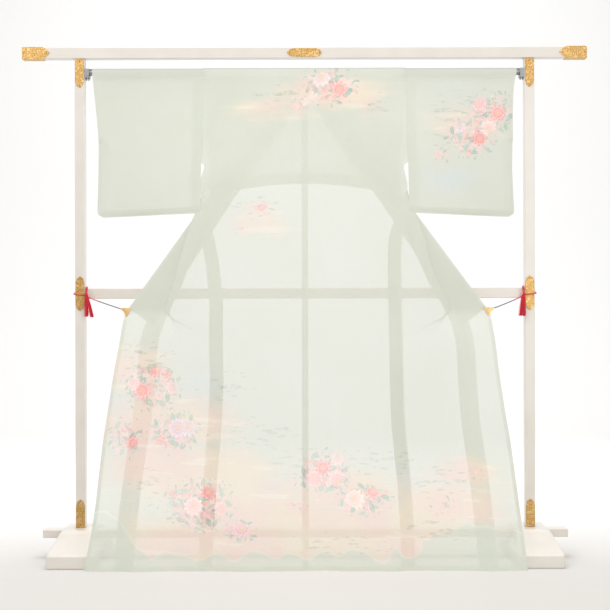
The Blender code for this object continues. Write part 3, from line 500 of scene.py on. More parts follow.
# Measures at each height, from the rod down: where the side seams, the okumi seams and the pleat's
# folds lie, and how far behind the back its runs hang.
COLUMNS = "side_left side_right okumi_left okumi_right reach depth start inner outer".split()
SECTIONS = [
    (1.5655, 0.3270, 0.3270, 0.0870, 0.0870, 0.1630, 0.0800, 0.0278, 0.0278, 0.0278),
    (1.4600, 0.3270, 0.3270, 0.0870, 0.0870, 0.1580, 0.1050, 0.0260, 0.0260, 0.0300),
    (1.4300, 0.3270, 0.3270, 0.1080, 0.1110, 0.1450, 0.1250, 0.0250, 0.0250, 0.0320),
    (1.4000, 0.3270, 0.3270, 0.1300, 0.1340, 0.1300, 0.1450, 0.0240, 0.0240, 0.0335),
    (1.3430, 0.3270, 0.3270, 0.1720, 0.1760, 0.0900, 0.1300, 0.0220, 0.0220, 0.0340),
    (1.2490, 0.3190, 0.3150, 0.2400, 0.2470, 0.0440, 0.0950, 0.0160, 0.0180, 0.0310),
    (1.2200, 0.3325, 0.3240, 0.2680, 0.2750, 0.0400, 0.0780, 0.0110, 0.0160, 0.0290),
    (1.1850, 0.3340, 0.3310, 0.2790, 0.2810, 0.0460, 0.0700, 0.0055, 0.0155, 0.0280),
    (1.1600, 0.3320, 0.3200, 0.2880, 0.2900, 0.0400, 0.0560, 0.0030, 0.0150, 0.0270),
    (1.1020, 0.3070, 0.2890, 0.3135, 0.3140, 0.0360, 0.0420, 0.0000, 0.0130, 0.0250),
    (1.0850, 0.3040, 0.2830, 0.3185, 0.3220, 0.0400, 0.0420, 0.0000, 0.0125, 0.0245),
    (1.0250, 0.2860, 0.2640, 0.3380, 0.3400, 0.0420, 0.0410, 0.0000, 0.0110, 0.0220),
    (0.9570, 0.2720, 0.2600, 0.3635, 0.3600, 0.0360, 0.0350, 0.0000, 0.0100, 0.0200),
    (0.8800, 0.2620, 0.2600, 0.3880, 0.3940, 0.0300, 0.0290, 0.0000, 0.0085, 0.0170),
    (0.8300, 0.2570, 0.2600, 0.4130, 0.4260, 0.0240, 0.0240, 0.0000, 0.0074, 0.0148),
    (CLIP_Z, 0.2570, 0.2610, 0.4330, 0.4490, 0.0170, 0.0190, 0.0000, 0.0066, 0.0132),
    (0.7500, 0.2570, 0.2610, 0.4490, 0.4640, -0.0040, 0.0040, 0.0000, 0.0040, 0.0080),
    (0.7200, 0.2570, 0.2610, 0.4580, 0.4720, -0.0300, -0.0160, 0.0000, 0.0022, 0.0044),
    (0.6700, 0.2570, 0.2620, 0.4670, 0.4780, -0.0800, -0.0400, 0.0000, 0.0006, 0.0012),
    (0.5800, 0.2530, 0.2620, 0.4680, 0.4790, -0.1100, -0.0600, 0.0000, 0.0000, 0.0000),
    (0.4500, 0.2570, 0.2650, 0.4800, 0.4850, -0.1200, -0.0600, 0.0000, 0.0000, 0.0000),
    (0.2800, 0.2700, 0.2800, 0.5030, 0.5060, -0.1200, -0.0600, 0.0000, 0.0000, 0.0000),
    (0.1100, 0.2800, 0.2900, 0.5190, 0.5210, -0.1200, -0.0600, 0.0000, 0.0000, 0.0000),
    (HEM_Z, 0.2840, 0.2900, 0.5250, 0.5290, -0.1200, -0.0600, 0.0000, 0.0000, 0.0000)]
heights, *columns = zip(*SECTIONS)
measure = {name: rounded(heights, column) for name, column in zip(COLUMNS, columns)}


def side_seam(side, z):
    return measure["side_" + side](z)


def okumi_seam(side, z):
    return measure["okumi_" + side](z)


BACK_END_ANGLE = radians(76)
ARC = [(BACK_END_ANGLE - (BACK_END_ANGLE + pi / 2) * k / 10,) for k in range(10)]
HEM_ROWS = down_steps(HEM_Z + HEM_FOLD, HEM_Z, 0.0045)


def back_place(sign, x, z, behind=0.0):
    waves = sag(sign * x, z) * smooth((WAVES_END_X - x) / 0.05)
    return Vector((sign * x, lean(z) + waves + pull_back(x, z) + behind, z))


def round_rod(x, radius, angle):
    """Where cloth lies round the rod; the angle is 0 on top and rises towards the far side."""
    return Vector((x, ROD_Y + radius * sin(angle), ROD_Z + radius * cos(angle)))


for side, sign in SIDES.items():
    def back_at(share, v):
        edge = side_seam(side, ROD_Z if isinstance(v, tuple) else v)
        x = mix(SEAM_GAP, edge - SEAM_GAP, share)
        if isinstance(v, tuple):
            return round_rod(sign * x, BODY_RADIUS, *v)
        return back_place(sign, x, v)

    def hem_at(share, z):
        return back_place(sign, mix(HEM_INSET, side_seam(side, z) - HEM_INSET, share), z, FOLD_BEHIND)

    back = sheet("silk_back_" + side, back_at, steps(0, 1, 34), ARC + down_steps(ROD_Z, HEM_Z))
    hem = sheet("back_hem_" + side, hem_at, steps(0, 1, 34), HEM_ROWS)
    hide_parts("back_" + side)

UNDER_ROD_Z = 1.552
TAPE_HALF = 0.0095
STAY_HALF = 0.025
STAY_LOW_Z = 1.462
# The tape and the stay get painted shade, a darker colour, for lying behind the back.
tape = sheet("centre_seam_tape", lambda x, z: back_place(1, x, z, 0.0014),
             steps(-TAPE_HALF, TAPE_HALF, 4), down_steps(UNDER_ROD_Z, LOWEST_Z), 0.5)
stay = sheet("neck_stay", lambda x, z: back_place(1, x, z, 0.0022),
             steps(-STAY_HALF, STAY_HALF, 8), down_steps(UNDER_ROD_Z, STAY_LOW_Z), 0.3)


# Fronts
# The other end of each back's length, which comes over the shoulder and down inside. Opened outward,
# it doubles over in one deep pleat beside the okumi seam, and falls flat below the clip.
OUTER_FOLD = 0.35
INNER_FOLD = 0.65
FOLD_TURN = 0.08
ARMHOLE_REACH = 0.013
ARMHOLE_LOW_Z = 1.258
ARMHOLE_HIGH_Z = 1.46
SIDE_TURNING_TOP_Z = 1.19


def below_pleat(z):
    """0 where the pleat is folded, 1 where it has run out."""
    return smooth((0.80 - z) / 0.10)


def front_line(side, z, share):
    """x and y of the front at height z; share is 0 at its side seam and 1 at the okumi seam."""
    okumi = okumi_seam(side, z)
    at_armhole = smooth((z - ARMHOLE_LOW_Z) / 0.010) * smooth((ARMHOLE_HIGH_Z - z) / 0.08)
    start = side_seam(side, z) + SEAM_GAP + ARMHOLE_REACH * at_armhole
    fold_out = okumi + measure["reach"](z)
    fold_in = fold_out - measure["depth"](z)
    start_y, inner_y, outer_y = (measure[name](z) for name in ("start", "inner", "outer"))
    if share < OUTER_FOLD:
        x = mix(start, fold_out, sin(share / OUTER_FOLD * pi / 2))
    elif share < INNER_FOLD:
        x = mix(fold_out, fold_in, (1 - cos((share - OUTER_FOLD) / (INNER_FOLD - OUTER_FOLD) * pi)) / 2)
    else:
        x = mix(fold_in, okumi - SEAM_GAP, 1 - cos((share - INNER_FOLD) / (1 - INNER_FOLD) * pi / 2))
    steady = mix(start_y, outer_y, share)
    flat = below_pleat(z)
    x = mix(x, mix(start, okumi - SEAM_GAP, share), flat)
    folded = start_y + (inner_y - start_y) * smooth((share - OUTER_FOLD + FOLD_TURN) / (2 * FOLD_TURN))
    folded += (outer_y - inner_y) * smooth((share - INNER_FOLD + FOLD_TURN) / (2 * FOLD_TURN))
    return x, lean(z) + mix(folded, steady, mix(0.25, 1, flat)) + pull_back(x, z)


def front_place(side, share, z, behind=0.0):
    x, y = front_line(side, z, share)
    low = smooth((0.70 - z) / 0.3)
    return Vector((SIDES[side] * x, y + behind + low * sag(SIDES[side] * x, z), z))


def beside_seam(side, distance, z):
    """The share of the front that lies this far out from its side seam, by halving."""
    low, high = 0.0, OUTER_FOLD
    start = front_line(side, z, 0.0)[0]
    for halving in range(13):
        middle = (low + high) / 2
        if front_line(side, z, middle)[0] - start < distance:
            low = middle
        else:
            high = middle
    return low


for side, sign in SIDES.items():
    def front_at(share, v):
        if isinstance(v, tuple):
            return round_rod(sign * front_line(side, ROD_Z, share)[0], BODY_RADIUS, *v)
        return front_place(side, share, v)

    front = sheet("silk_front_" + side, front_at, steps(0, 1, 60),
                  [(BACK_END_ANGLE,)] + down_steps(ROD_Z, HEM_Z))
    turnings = [sheet("front_hem_" + side, lambda share, z: front_place(side, share, z, FOLD_BEHIND),
                      steps(0, 1, 50), HEM_ROWS)]
    for name, behind, wide in (("back", 0.0010, 0.044), ("front", 0.0020, 0.041)):
        turnings.append(sheet("side_turning_%s_%s" % (name, side),
                              lambda d, z: front_place(side, beside_seam(side, d, z), z, behind),
                              steps(0.0, wide, 6), down_steps(SIDE_TURNING_TOP_Z, LOWEST_Z)))
    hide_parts("front_" + side)


# Okumi
# A long half width sewn to each front's free edge, from below the neck to the hem. The collar takes
# its upper slanting edge, and below the clip its free edge is turned in and hemmed.
def both_sides(table):
    """The left and the right column of a table, each as a smooth function of the height before them."""
    heights, left, right = zip(*table)
    return {"left": rounded(heights, left), "right": rounded(heights, right)}


EDGES = [(0.790, 0.574, 0.590), (0.767, 0.579, 0.594), (0.690, 0.589, 0.604), (0.600, 0.603, 0.611),
         (0.490, 0.617, 0.624), (0.390, 0.630, 0.638), (0.280, 0.640, 0.650), (0.190, 0.647, 0.659),
         (0.105, 0.658, 0.668), (0.030, 0.671, 0.675), (HEM_Z, 0.675, 0.677)]
free_edge = both_sides(EDGES)
OKUMI_TOP_Z = 1.185


def collar_seam(side, z):
    return CLIP_X[side] / (ROD_Z + BODY_RADIUS - CLIP_Z) * (ROD_Z + BODY_RADIUS - z)


def outer_edge(side, z):
    return collar_seam(side, z) if z > CLIP_Z else free_edge[side](z)


def okumi_place(side, x, z, behind=0.0):
    wave = smooth((0.75 - z) / 0.4) * sag(SIDES[side] * x, z)
    return Vector((SIDES[side] * x, lean(z) + measure["outer"](z) + pull_back(x, z) + behind + wave, z))


for side in SIDES:
    def okumi_at(share, z):
        return okumi_place(side, mix(okumi_seam(side, z) + SEAM_GAP, outer_edge(side, z), share), z)

    def seam_turning(d, z):
        room = outer_edge(side, z) - okumi_seam(side, z)
        return okumi_place(side, okumi_seam(side, z) + min(d, room * 0.97), z, FOLD_BEHIND + 0.02 * d)

    def edge_turning(d, z):
        return okumi_place(side, outer_edge(side, z) - d, z, 0.0009)

    def hem_at(share, z):
        x = mix(okumi_seam(side, z) + HEM_INSET, outer_edge(side, z), share)
        return okumi_place(side, x, z, FOLD_BEHIND)

    okumi = sheet("silk_okumi_" + side, okumi_at, steps(0, 1, 20), down_steps(OKUMI_TOP_Z, HEM_Z))
    # The seam turning gets painted shade, a darker colour.
    turnings = [
        sheet("okumi_seam_turning_" + side, seam_turning, steps(0, 0.060, 7),
              down_steps(OKUMI_TOP_Z - 0.015, LOWEST_Z), 0.55),
        sheet("okumi_edge_turning_" + side, edge_turning, steps(0, 0.011, 3),
              down_steps(CLIP_Z - 0.025, HEM_Z)),
        sheet("okumi_hem_" + side, hem_at, steps(0, 1, 20), HEM_ROWS)]
    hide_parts("okumi_" + side)


# Collar
# One long strip folded double, sewn round the neck and down both okumi to the clips. On the opened
# fronts it is turned in behind the okumi, and widens towards its ends.
CollarRow = namedtuple("CollarRow", "x z inner_x inner_z behind")
NECK_TOP = ROD_Z + BODY_RADIUS * cos(radians(77))
NECK = [
    CollarRow(0.0002, NECK_TOP, 0.0002, 1.5110, 0.0), CollarRow(0.0320, NECK_TOP, 0.0200, 1.5110, 0.0),
    CollarRow(0.0640, NECK_TOP, 0.0330, 1.5080, 0.0), CollarRow(0.0855, 1.5480, 0.0360, 1.5000, 0.0),
    CollarRow(0.0855, 1.5150, 0.0355, 1.4850, 0.0), CollarRow(0.0855, 1.4750, 0.0340, 1.4600, 0.001),
]
COLLAR_TOP_Z = 1.425
COLLAR_ROWS = 60
for side, sign in SIDES.items():
    slant = atan2(CLIP_X[side], ROD_Z + BODY_RADIUS - CLIP_Z)
    rows = list(NECK)
    for k, z in enumerate(steps(COLLAR_TOP_Z, CLIP_Z + 0.012, COLLAR_ROWS)):
        width = mix(0.055, 0.096, (k / COLLAR_ROWS) ** 1.5)
        x = collar_seam(side, z) - 0.003
        rows.append(CollarRow(x, z, x - cos(slant) * width, z - sin(slant) * width, 0.0045))

    def collar_at(share, row, behind=0.0):
        x = mix(row.x, row.inner_x, share)
        z = mix(row.z, row.inner_z, share)
        base = measure["outer"](row.z) + pull_back(row.x, row.z) + row.behind * (1 + 1.2 * share)
        return Vector((sign * x, lean(z) + base + behind, z))

    # Both layers of the collar get painted shade, a darker colour.
    collar = sheet("silk_collar_" + side, collar_at, steps(0, 1, 8), rows, 0.4)
    inside = sheet("collar_inside_" + side, lambda share, row: collar_at(share, row, 0.0016),
                   steps(0, 1, 8), rows, 0.4)
    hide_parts("collar_" + side)


# Sleeves
# One length folded over the rod and sewn at the bottom and below the cuff. The cuff is open for
# 23 cm above, and the inner edge hangs free below the armhole.
SLEEVE_RADIUS = LINING_RADIUS
SLEEVE_APART = 0.010
SLEEVE_LOW_INNER_Z = 1.104
SLEEVE_LOW_OUTER_Z = 1.094
CUFF_OPEN_Z = 1.350
CUFFS = [(1.5655, 0.686, 0.686), (1.525, 0.682, 0.676), (1.475, 0.676, 0.673), (1.420, 0.670, 0.671),
         (1.350, 0.664, 0.671), (1.250, 0.664, 0.668), (1.140, 0.666, 0.672), (1.090, 0.667, 0.674)]
cuff = both_sides(CUFFS)
SLEEVE_CORNER = 0.020


def sleeve_place(side, share, drop, back, lift=0.0):
    """A point of the sleeve's near layer, or with back at 1 of its far one."""
    bottom = mix(SLEEVE_LOW_INNER_Z, SLEEVE_LOW_OUTER_Z, share)
    z = mix(ROD_Z, bottom, drop)
    outer = cuff[side](z)
    above = z - bottom
    if above < SLEEVE_CORNER:
        outer -= SLEEVE_CORNER - (SLEEVE_CORNER ** 2 - (SLEEVE_CORNER - above) ** 2) ** 0.5
    inner = SHOULDER_HALF + SEAM_GAP + 0.0045 * smooth((CUFF_OPEN_Z - z) / 0.1)
    x = mix(inner, outer, share)
    near_in = lean(z) + BODY_RADIUS - SLEEVE_RADIUS
    near_out = ROD_Y - SLEEVE_RADIUS - 0.020 * drop
    near = mix(near_in, near_out, smooth(share))
    ends = smooth((drop - 0.965) / 0.035)
    sewn = max(smooth((share - 0.90) / 0.10) * smooth((CUFF_OPEN_Z - z) / 0.02), ends)
    room = mix(2 * SLEEVE_RADIUS, SLEEVE_APART, smooth(drop))
    wave = 0.0022 * smooth(drop * 1.4) * (1 - ends) * noise.noise(Vector((x * 9, z * 2.5, 7.0 + back * 2)))
    return Vector((SIDES[side] * x, near + room * sewn / 2 + room * (1 - sewn) * back + wave + lift, z))


DROP_STEPS = 58
drops = [k / DROP_STEPS for k in range(1, DROP_STEPS + 1)]
ring = [(0, drop) for drop in reversed(drops)] + [("arc", a) for a in steps(-pi / 2, pi / 2, 12)]
ring += [(1, drop) for drop in drops]
for side, sign in SIDES.items():
    def sleeve_at(share, v):
        if v[0] == "arc":
            x = mix(SHOULDER_HALF + SEAM_GAP, cuff[side](ROD_Z), share)
            return round_rod(sign * x, SLEEVE_RADIUS, v[1])
        return sleeve_place(side, share, v[1], v[0])

    sleeve = sheet("silk_sleeve_" + side, sleeve_at, steps(0, 1, 42), ring)
    turnings = []
    # The turned-in inner edges get painted shade, a darker colour; the cuff turnings get none.
    for layer, back, inward in (("near", 0, FOLD_BEHIND), ("far", 1, -FOLD_BEHIND)):
        for name, across, along, layer_shade in (("edge", steps(0.001, 0.095, 4), drops[1:-2], 0.25),
                                            ("cuff", steps(0.972, 0.999, 3), drops[1:-3], 0.0)):
            turnings.append(sheet("sleeve_%s_%s_%s" % (name, layer, side),
                                  lambda share, drop: sleeve_place(side, share, drop, back, inward),
                                  across, along, layer_shade))
    turnings.append(sheet("sleeve_bottom_" + side,
                          lambda share, drop: sleeve_place(side, share, drop, 0, FOLD_BEHIND),
                          steps(0.002, 0.99, 30), [0.955, 0.97, 0.985, 0.995]))
    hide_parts("sleeve_" + side)


# Shoulder lining
# One piece of the same silk inside the back's shoulders, next to the rod, sewn in with the side seams.
# Its hem is cut in an arch and turned up deep, and shows through as a darker band that painted shade darkens
# further.
LINING_LOW_Z = 1.198
LINING_SIDE = 0.29
LINING_ARCH = 0.035
LINING_TURN = 0.036 / 0.37


def lining_place(x, drop, behind=0.0):
    hem = LINING_LOW_Z - LINING_ARCH * (x / LINING_SIDE) ** 2
    z = mix(ROD_Z, hem, drop)
    inner_x = x * (1 - 0.04 * smooth((1.40 - z) / 0.15))
    waves = sag(inner_x, z) * smooth((WAVES_END_X - abs(x)) / 0.05)
    return Vector((inner_x, lean(z) + waves + 0.0018 + pull_back(x, z) + behind, z))


def lining_at(x, v):
    if isinstance(v, tuple):
        return round_rod(x, LINING_RADIUS, *v)
    return lining_place(x, v)


lining_widths = steps(-0.315, 0.315, 62)
lining = sheet("silk_shoulder_lining", lining_at, lining_widths, ARC + steps(0, 1, 44))
# The hem turning gets painted shade, a darker colour.
lining_hem = sheet("lining_hem", lambda x, drop: lining_place(x, drop, FOLD_BEHIND), lining_widths,
                   steps(1 - LINING_TURN, 1, 5), 0.35)
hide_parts("shoulder_lining")


# Rack
# Straight bars of softwood under many coats of cream lacquer: two posts tenoned into sloped feet, a long
# top rail, a middle rail between the posts, and a base beam through both feet.
def coat(look, *nodes):
    """Gives solids that show as they are their finish."""
    for node in nodes:
        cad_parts[node].material_slots[0].material = look


lacquer, shader, place = finish("cream_lacquer", 0.32, Coat_Weight=0.35, Coat_Roughness=0.12)
mottle = place.cloud(11, 4)
tone = mottle.rise(0.30, 0.72).blend((0.650, 0.606, 0.545), (0.680, 0.640, 0.585))
tone = (place.cloud(160).rise(0.66, 0.76) * 0.25).blend(tone, (0.60, 0.55, 0.47))
brushed = place.stretched(90.0, 90.0, 9.0).cloud(1, 3) + place.cloud(420, 1) * 0.4
wear(shader, Base_Color=tone, Roughness=0.24 + mottle * 0.14, Normal=brushed.bump(0.12, 0.0006))
coat(lacquer, "top_rail", "middle_rail", "base_beam", "post_left", "post_right", "foot_left", "foot_right")


# Rod
# A drawn steel tube, brushed along its length, that lies in two open cast brackets on the posts. Two
# thumb screws hold each bracket from below.
steel, shader, place = finish("brushed_steel", 0.36, 1.0)
lines = place.stretched(3.0, 900.0, 900.0).cloud(1, 3)
stain = place.cloud(30, 3)
shade = (lines * 0.6 + stain * 0.4).rise(0.3, 0.7).blend((0.22, 0.225, 0.235), (0.34, 0.345, 0.355))
wear(shader, Base_Color=shade, Roughness=0.28 + stain * 0.22, Normal=lines.bump(0.2, 0.0002))
coat(steel, "hanging_rod", "rod_bracket_left", "rod_bracket_right")


def skin(shape, rings):
    """Joins rings of points into a tube with closed ends."""
    rings = [[shape.verts.new(point) for point in ring] for ring in rings]
    sides = len(rings[0])
    for a, b in zip(rings, rings[1:]):
        for i in range(sides):
            shape.faces.new((a[i], a[(i + 1) % sides], b[(i + 1) % sides], b[i]))
    shape.faces.new(list(reversed(rings[0])))
    shape.faces.new(rings[-1])


def shaped(name, shape, look):
    """The piece of a finished shape."""
    mesh = bpy.data.meshes.new(name)
    shape.to_mesh(mesh)
    shape.free()
    return piece(name, mesh, look)


def turned(name, profile, center, look, sides=20):
    """A solid of revolution about a vertical line through center; profile is (radius, height) pairs."""
    angles = [2 * pi * k / sides for k in range(sides)]
    shape = bmesh.new()
    skin(shape, [[(center[0] + radius * cos(a), center[1] + radius * sin(a), center[2] + up) for a in angles]
                 for radius, up in profile])
    made = shaped(name, shape, look)
    made.data.shade_smooth()
    made.data.set_sharp_from_angle(angle=radians(35))


SCREW_SHARES = (0.24, 0.76)
SCREW = [(0.0012, -0.0070), (0.0023, -0.0066), (0.0025, -0.0058), (0.0025, -0.0034), (0.0022, -0.0030),
         (0.0013, -0.0028), (0.0013, 0.0)]
for side in SIDES:
    low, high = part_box("rod_bracket_" + side)
    for number, share in enumerate(SCREW_SHARES):
        center = (mix(low.x, high.x, share), (low.y + high.y) / 2, low.z)
        turned("thumb_screw_%s_%d" % (side, number), SCREW, center, steel)


# Gold fittings
# Thin brass plates with pointed ends, gilt and chased: a raised rim round a punched ground with
# scrolling stems. Small round nails hold them to the bars.
gilt, shader, place = finish("gilt_brass", 0.33, 1.0, Specular_IOR_Level=0.5)
scroll = place.node("TexVoronoi", {"Vector": place, "Scale": 150, "Randomness": 0.7},
                    feature="DISTANCE_TO_EDGE")
stems = 1 - scroll.rise(0.05, 0.14)
punches = place.node("TexVoronoi", {"Vector": place, "Scale": 900, "Randomness": 0.3}).rise(0.25, 0.5)
age = place.cloud(45, 4)
shade = age.rise(0.3, 0.75).blend((0.64, 0.41, 0.15), (0.76, 0.53, 0.24))
shade = ((1 - stems) * (0.30 + punches * 0.45)).blend(shade, (0.36, 0.18, 0.045))
wear(shader, Base_Color=shade, Roughness=0.26 + age * 0.2,
     Normal=(stems + punches * -0.25).bump(0.55, 0.0006))


def chased(node):
    """The plate's solid with its outer face sunk inside a raised rim."""
    shape = bmesh.new()
    shape.from_mesh(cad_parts[node].data)
    bmesh.ops.remove_doubles(shape, verts=shape.verts, dist=0.00001)
    bmesh.ops.dissolve_limit(shape, angle_limit=radians(2), verts=shape.verts, edges=shape.edges)
    away = -1 if "front" in node else 1
    outer = [f for f in shape.faces if f.normal.y * away > 0.9]
    for thickness, depth in ((0.0013, 0.0002), (0.0006, -0.0005)):
        bmesh.ops.inset_region(shape, faces=outer, thickness=thickness, depth=depth, use_even_offset=True)
    made = shaped("chased_" + node, shape, gilt)
    bevel = made.modifiers.new("rounded edges", "BEVEL")
    bevel.width = 0.00018
    bevel.segments = 2
    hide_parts(node)


NAIL_INSET = 0.008
nail_places = []
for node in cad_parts:
    if not node.startswith("gold_"):
        continue
    low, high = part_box(node)
    middle_z = (low.z + high.z) / 2
    if "end" in node:
        coat(gilt, node)
        sign = -1 if "left" in node else 1
        inner, outer = sorted((abs(low.x), abs(high.x)))
        nail_places += [(sign * x, y, middle_z) for y in (low.y - 0.0001, high.y + 0.0001)
                        for x in (inner + 0.012, outer - 0.006)]
        continue
    chased(node)
    y = low.y - 0.0001 if "front" in node else high.y + 0.0001
    if "rail" in node:
        nail_places += [(x, y, middle_z) for x in (low.x + NAIL_INSET, high.x - NAIL_INSET)]
    else:
        nail_places += [((low.x + high.x) / 2, y, z) for z in (low.z + NAIL_INSET, high.z - NAIL_INSET)]


def tree_of(name, **sizes):
    """Wires for the named inputs of a new node tree: its mesh, its sizes and its material."""
    tree = bpy.data.node_groups.new(name, "GeometryNodeTree")
    for way in ("INPUT", "OUTPUT"):
        tree.interface.new_socket("Geometry", in_out=way, socket_type="NodeSocketGeometry")
    for label, value in sizes.items():
        socket = tree.interface.new_socket(label, in_out="INPUT", socket_type="NodeSocketFloat")
        socket.default_value = value
    tree.interface.new_socket("Material", in_out="INPUT", socket_type="NodeSocketMaterial")
    group_in = tree.nodes.new("NodeGroupInput")
    return {socket.name: Wire(tree, socket) for socket in group_in.outputs if socket.name}


def repeat(given, instance, points, **turns):
    """Puts the instance on the points, then Realize Instances and Set Material."""
    put = points.node("GeometryNodeInstanceOnPoints", {"Points": points, "Instance": instance, **turns})
    real = put.node("GeometryNodeRealizeInstances", {"Geometry": put})
    even = real.node("GeometryNodeSetShadeSmooth", {"Geometry": real})
    dressed = even.node("GeometryNodeSetMaterial", {"Geometry": even, "Material": given["Material"]})
    dressed.tree.links.new(dressed.socket, dressed.tree.nodes.new("NodeGroupOutput").inputs["Geometry"])


def grown(name, given, points, edges, look, slot, **sizes):
    """Runs the tree on a mesh of points and edges, and keeps the result as a plain mesh."""
    seed = bpy.data.meshes.new(name + "_seed")
    seed.from_pydata([tuple(p) for p in points], edges, [])
    holder = bpy.data.objects.new(name + "_seed", seed)
    scene.collection.objects.link(holder)
    modifier = holder.modifiers.new(name, "NODES")
    modifier.node_group = given["Material"].tree
    sizes["Material"] = look
    for item in modifier.node_group.interface.items_tree:
        if item.in_out == "INPUT" and item.name in sizes:
            modifier[item.identifier] = sizes[item.name]
    mesh = bpy.data.meshes.new_from_object(holder.evaluated_get(bpy.context.evaluated_depsgraph_get()))
    mesh.name = name
    bpy.data.objects.remove(holder)
    return piece(name, mesh)


nails = tree_of("round_nails", nail_radius=0.0013)
dome = nails["Geometry"].node("GeometryNodeMeshUVSphere", {"Segments": 10, "Rings": 6,
                                                          "Radius": nails["nail_radius"]})
repeat(nails, dome, nails["Geometry"])
dark_brass, shader, place = finish("aged_brass_nails", 0.45, 1.0)
wear(shader, Base_Color=place.cloud(300).rise(0.3, 0.7).blend((0.14, 0.065, 0.02), (0.30, 0.16, 0.05)))
grown("gold_nails", nails, nail_places, [], dark_brass, "gold", nail_radius=0.0017)


# Stitches
# Silk thread, blind-stitched along the hem, the okumi edges, the tape and the lining's hem. Only short
# bars show on the face, about a centimetre apart.
thread, shader, place = finish("silk_thread", 0.6)
wear(shader, Base_Color=place.cloud(400, 1).rise(0.3, 0.7).blend((0.52, 0.57, 0.45), (0.62, 0.66, 0.55)))
stitches = tree_of("blind_stitches", spacing=0.008, length=0.002, thread_radius=0.00022)
line = stitches["Geometry"]
line = line.node("GeometryNodeMeshToCurve", {"Mesh": line})
line = line.node("GeometryNodeResampleCurve", {"Curve": line, "Length": stitches["spacing"]}, mode="LENGTH")
bar = line.node("GeometryNodeMeshCylinder", {"Vertices": 6, "Radius": stitches["thread_radius"],
                                             "Depth": stitches["length"]})
along = line.node("GeometryNodeInputTangent")
repeat(stitches, bar, line, Rotation=line.node("FunctionNodeAlignEulerToVector", {"Vector": along}, axis="Z"))

STITCH_Z = HEM_Z + 0.0125
ABOVE = -0.0003
lines = []
for side, sign in SIDES.items():
    lines.append([back_place(sign, x, STITCH_Z, ABOVE) for x in steps(0.004, side_seam(side, 0.02), 30)])
    lines.append([front_place(side, share, STITCH_Z, ABOVE) for share in steps(0.01, 1, 30)])
    inner, outer = okumi_seam(side, 0.02), free_edge[side](0.015)
    lines.append([okumi_place(side, mix(inner, outer, share), STITCH_Z, ABOVE)
                  for share in steps(0.01, 0.96, 20)])
    lines.append([okumi_place(side, free_edge[side](z) - 0.0105, z, ABOVE) for z in down_steps(0.76, 0.02)])
    lines.append([back_place(1, sign * 0.0088, z, ABOVE) for z in down_steps(1.545, 0.01)])
lines.append([lining_place(x, 1 - LINING_TURN, ABOVE) for x in lining_widths])
points, edges = [], []
for row in lines:
    edges += [(len(points) + k, len(points) + k + 1) for k in range(len(row) - 1)]
    points += row
grown("silk_stitches", stitches, points, edges, thread, "silk", spacing=0.009, length=0.0022,
      thread_radius=0.00022)


# Clips
# Two jaws of folded sheet brass, pressed to a shallow ridge, that bite each front's corner. They turn on
# a rolled hinge, and the cord's elastic end is fixed behind it.
clip_brass, shader, place = finish("clip_brass", 0.30, 1.0)
rub = place.cloud(120, 3)
wear(shader, Base_Color=rub.rise(0.3, 0.7).blend((0.80, 0.52, 0.22), (0.90, 0.66, 0.34)),
     Roughness=0.38 + rub * 0.16)


def jaw_sheet(name, corners, ridge):
    """A plate of two faces that meet in a raised fold, with a wall."""
    shape = bmesh.new()
    points = [shape.verts.new(p) for p in corners]
    crest = shape.verts.new(ridge)
    shape.faces.new((points[0], crest, points[1]))
    shape.faces.new((crest, points[3], points[2], points[1]))
    bmesh.ops.recalc_face_normals(shape, faces=shape.faces)
    made = shaped(name, shape, clip_brass)
    wall = made.modifiers.new("wall", "SOLIDIFY")
    wall.thickness = 0.0014
    wall.offset = 0
    soft_edge = made.modifiers.new("soft edges", "BEVEL")
    soft_edge.width = 0.0003
    soft_edge.segments = 2
    return made


JAW_APART = 0.0052
HINGE = [(0.0010, -0.0095), (0.0026, -0.0090), (0.0026, 0.0), (0.0010, 0.0005)]
for side, sign in SIDES.items():
    edge = CLIP_X[side]
    top, end = CLIP_Z + 0.014, edge + 0.014
    middle_y = lean(CLIP_Z) + measure["outer"](CLIP_Z) + pull_back(edge, CLIP_Z) - 0.0016
    corners = [(edge - 0.020, top), (edge - 0.004, top - 0.030), (end - 0.006, top - 0.006), (end, top)]
    for label, away in (("front", -1), ("back", 1)):
        y = middle_y + away * JAW_APART
        jaw = jaw_sheet("clip_jaw_%s_%s" % (label, side), [(sign * x, y, z) for x, z in corners],
                        (sign * (edge - 0.001), y + away * 0.0020, top))
        if label == "front":
            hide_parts("clip_" + side)
    turned("clip_hinge_" + side, HINGE, (sign * (end - 0.0052), middle_y, top - 0.0006), clip_brass)


# Cords and tassels
# Twisted silk cord, tied once round each post, with a grey elastic run to the clip. The knot ends in a
# loop above and a tassel in two bunches below.
red, shader, place = finish("red_silk_cord", 0.62, Sheen_Weight=0.12, Sheen_Roughness=0.4)
strand = place.stretched(900.0, 900.0, 60.0).cloud(1, 3)
wear(shader, Base_Color=strand.rise(0.3, 0.7).blend((0.52, 0.008, 0.020), (0.80, 0.022, 0.048)),
     Normal=strand.bump(0.4, 0.0004))
grey, shader, place = finish("grey_elastic", 0.6)
bands = place.stretched(1200.0, 300.0, 300.0).cloud(1)
wear(shader, Base_Color=bands.rise(0.3, 0.7).blend((0.035, 0.022, 0.028), (0.09, 0.07, 0.08)))

CORD_RADIUS = 0.0019
ELASTIC_RADIUS = 0.0015
ELASTIC_SHARE = 0.27
ROUTE_STEP = 0.0006
POST_X = 0.725
POST_HALF = 0.016
PLATE = 0.0015
RAIL_TOP_Z = 0.850 + 0.017


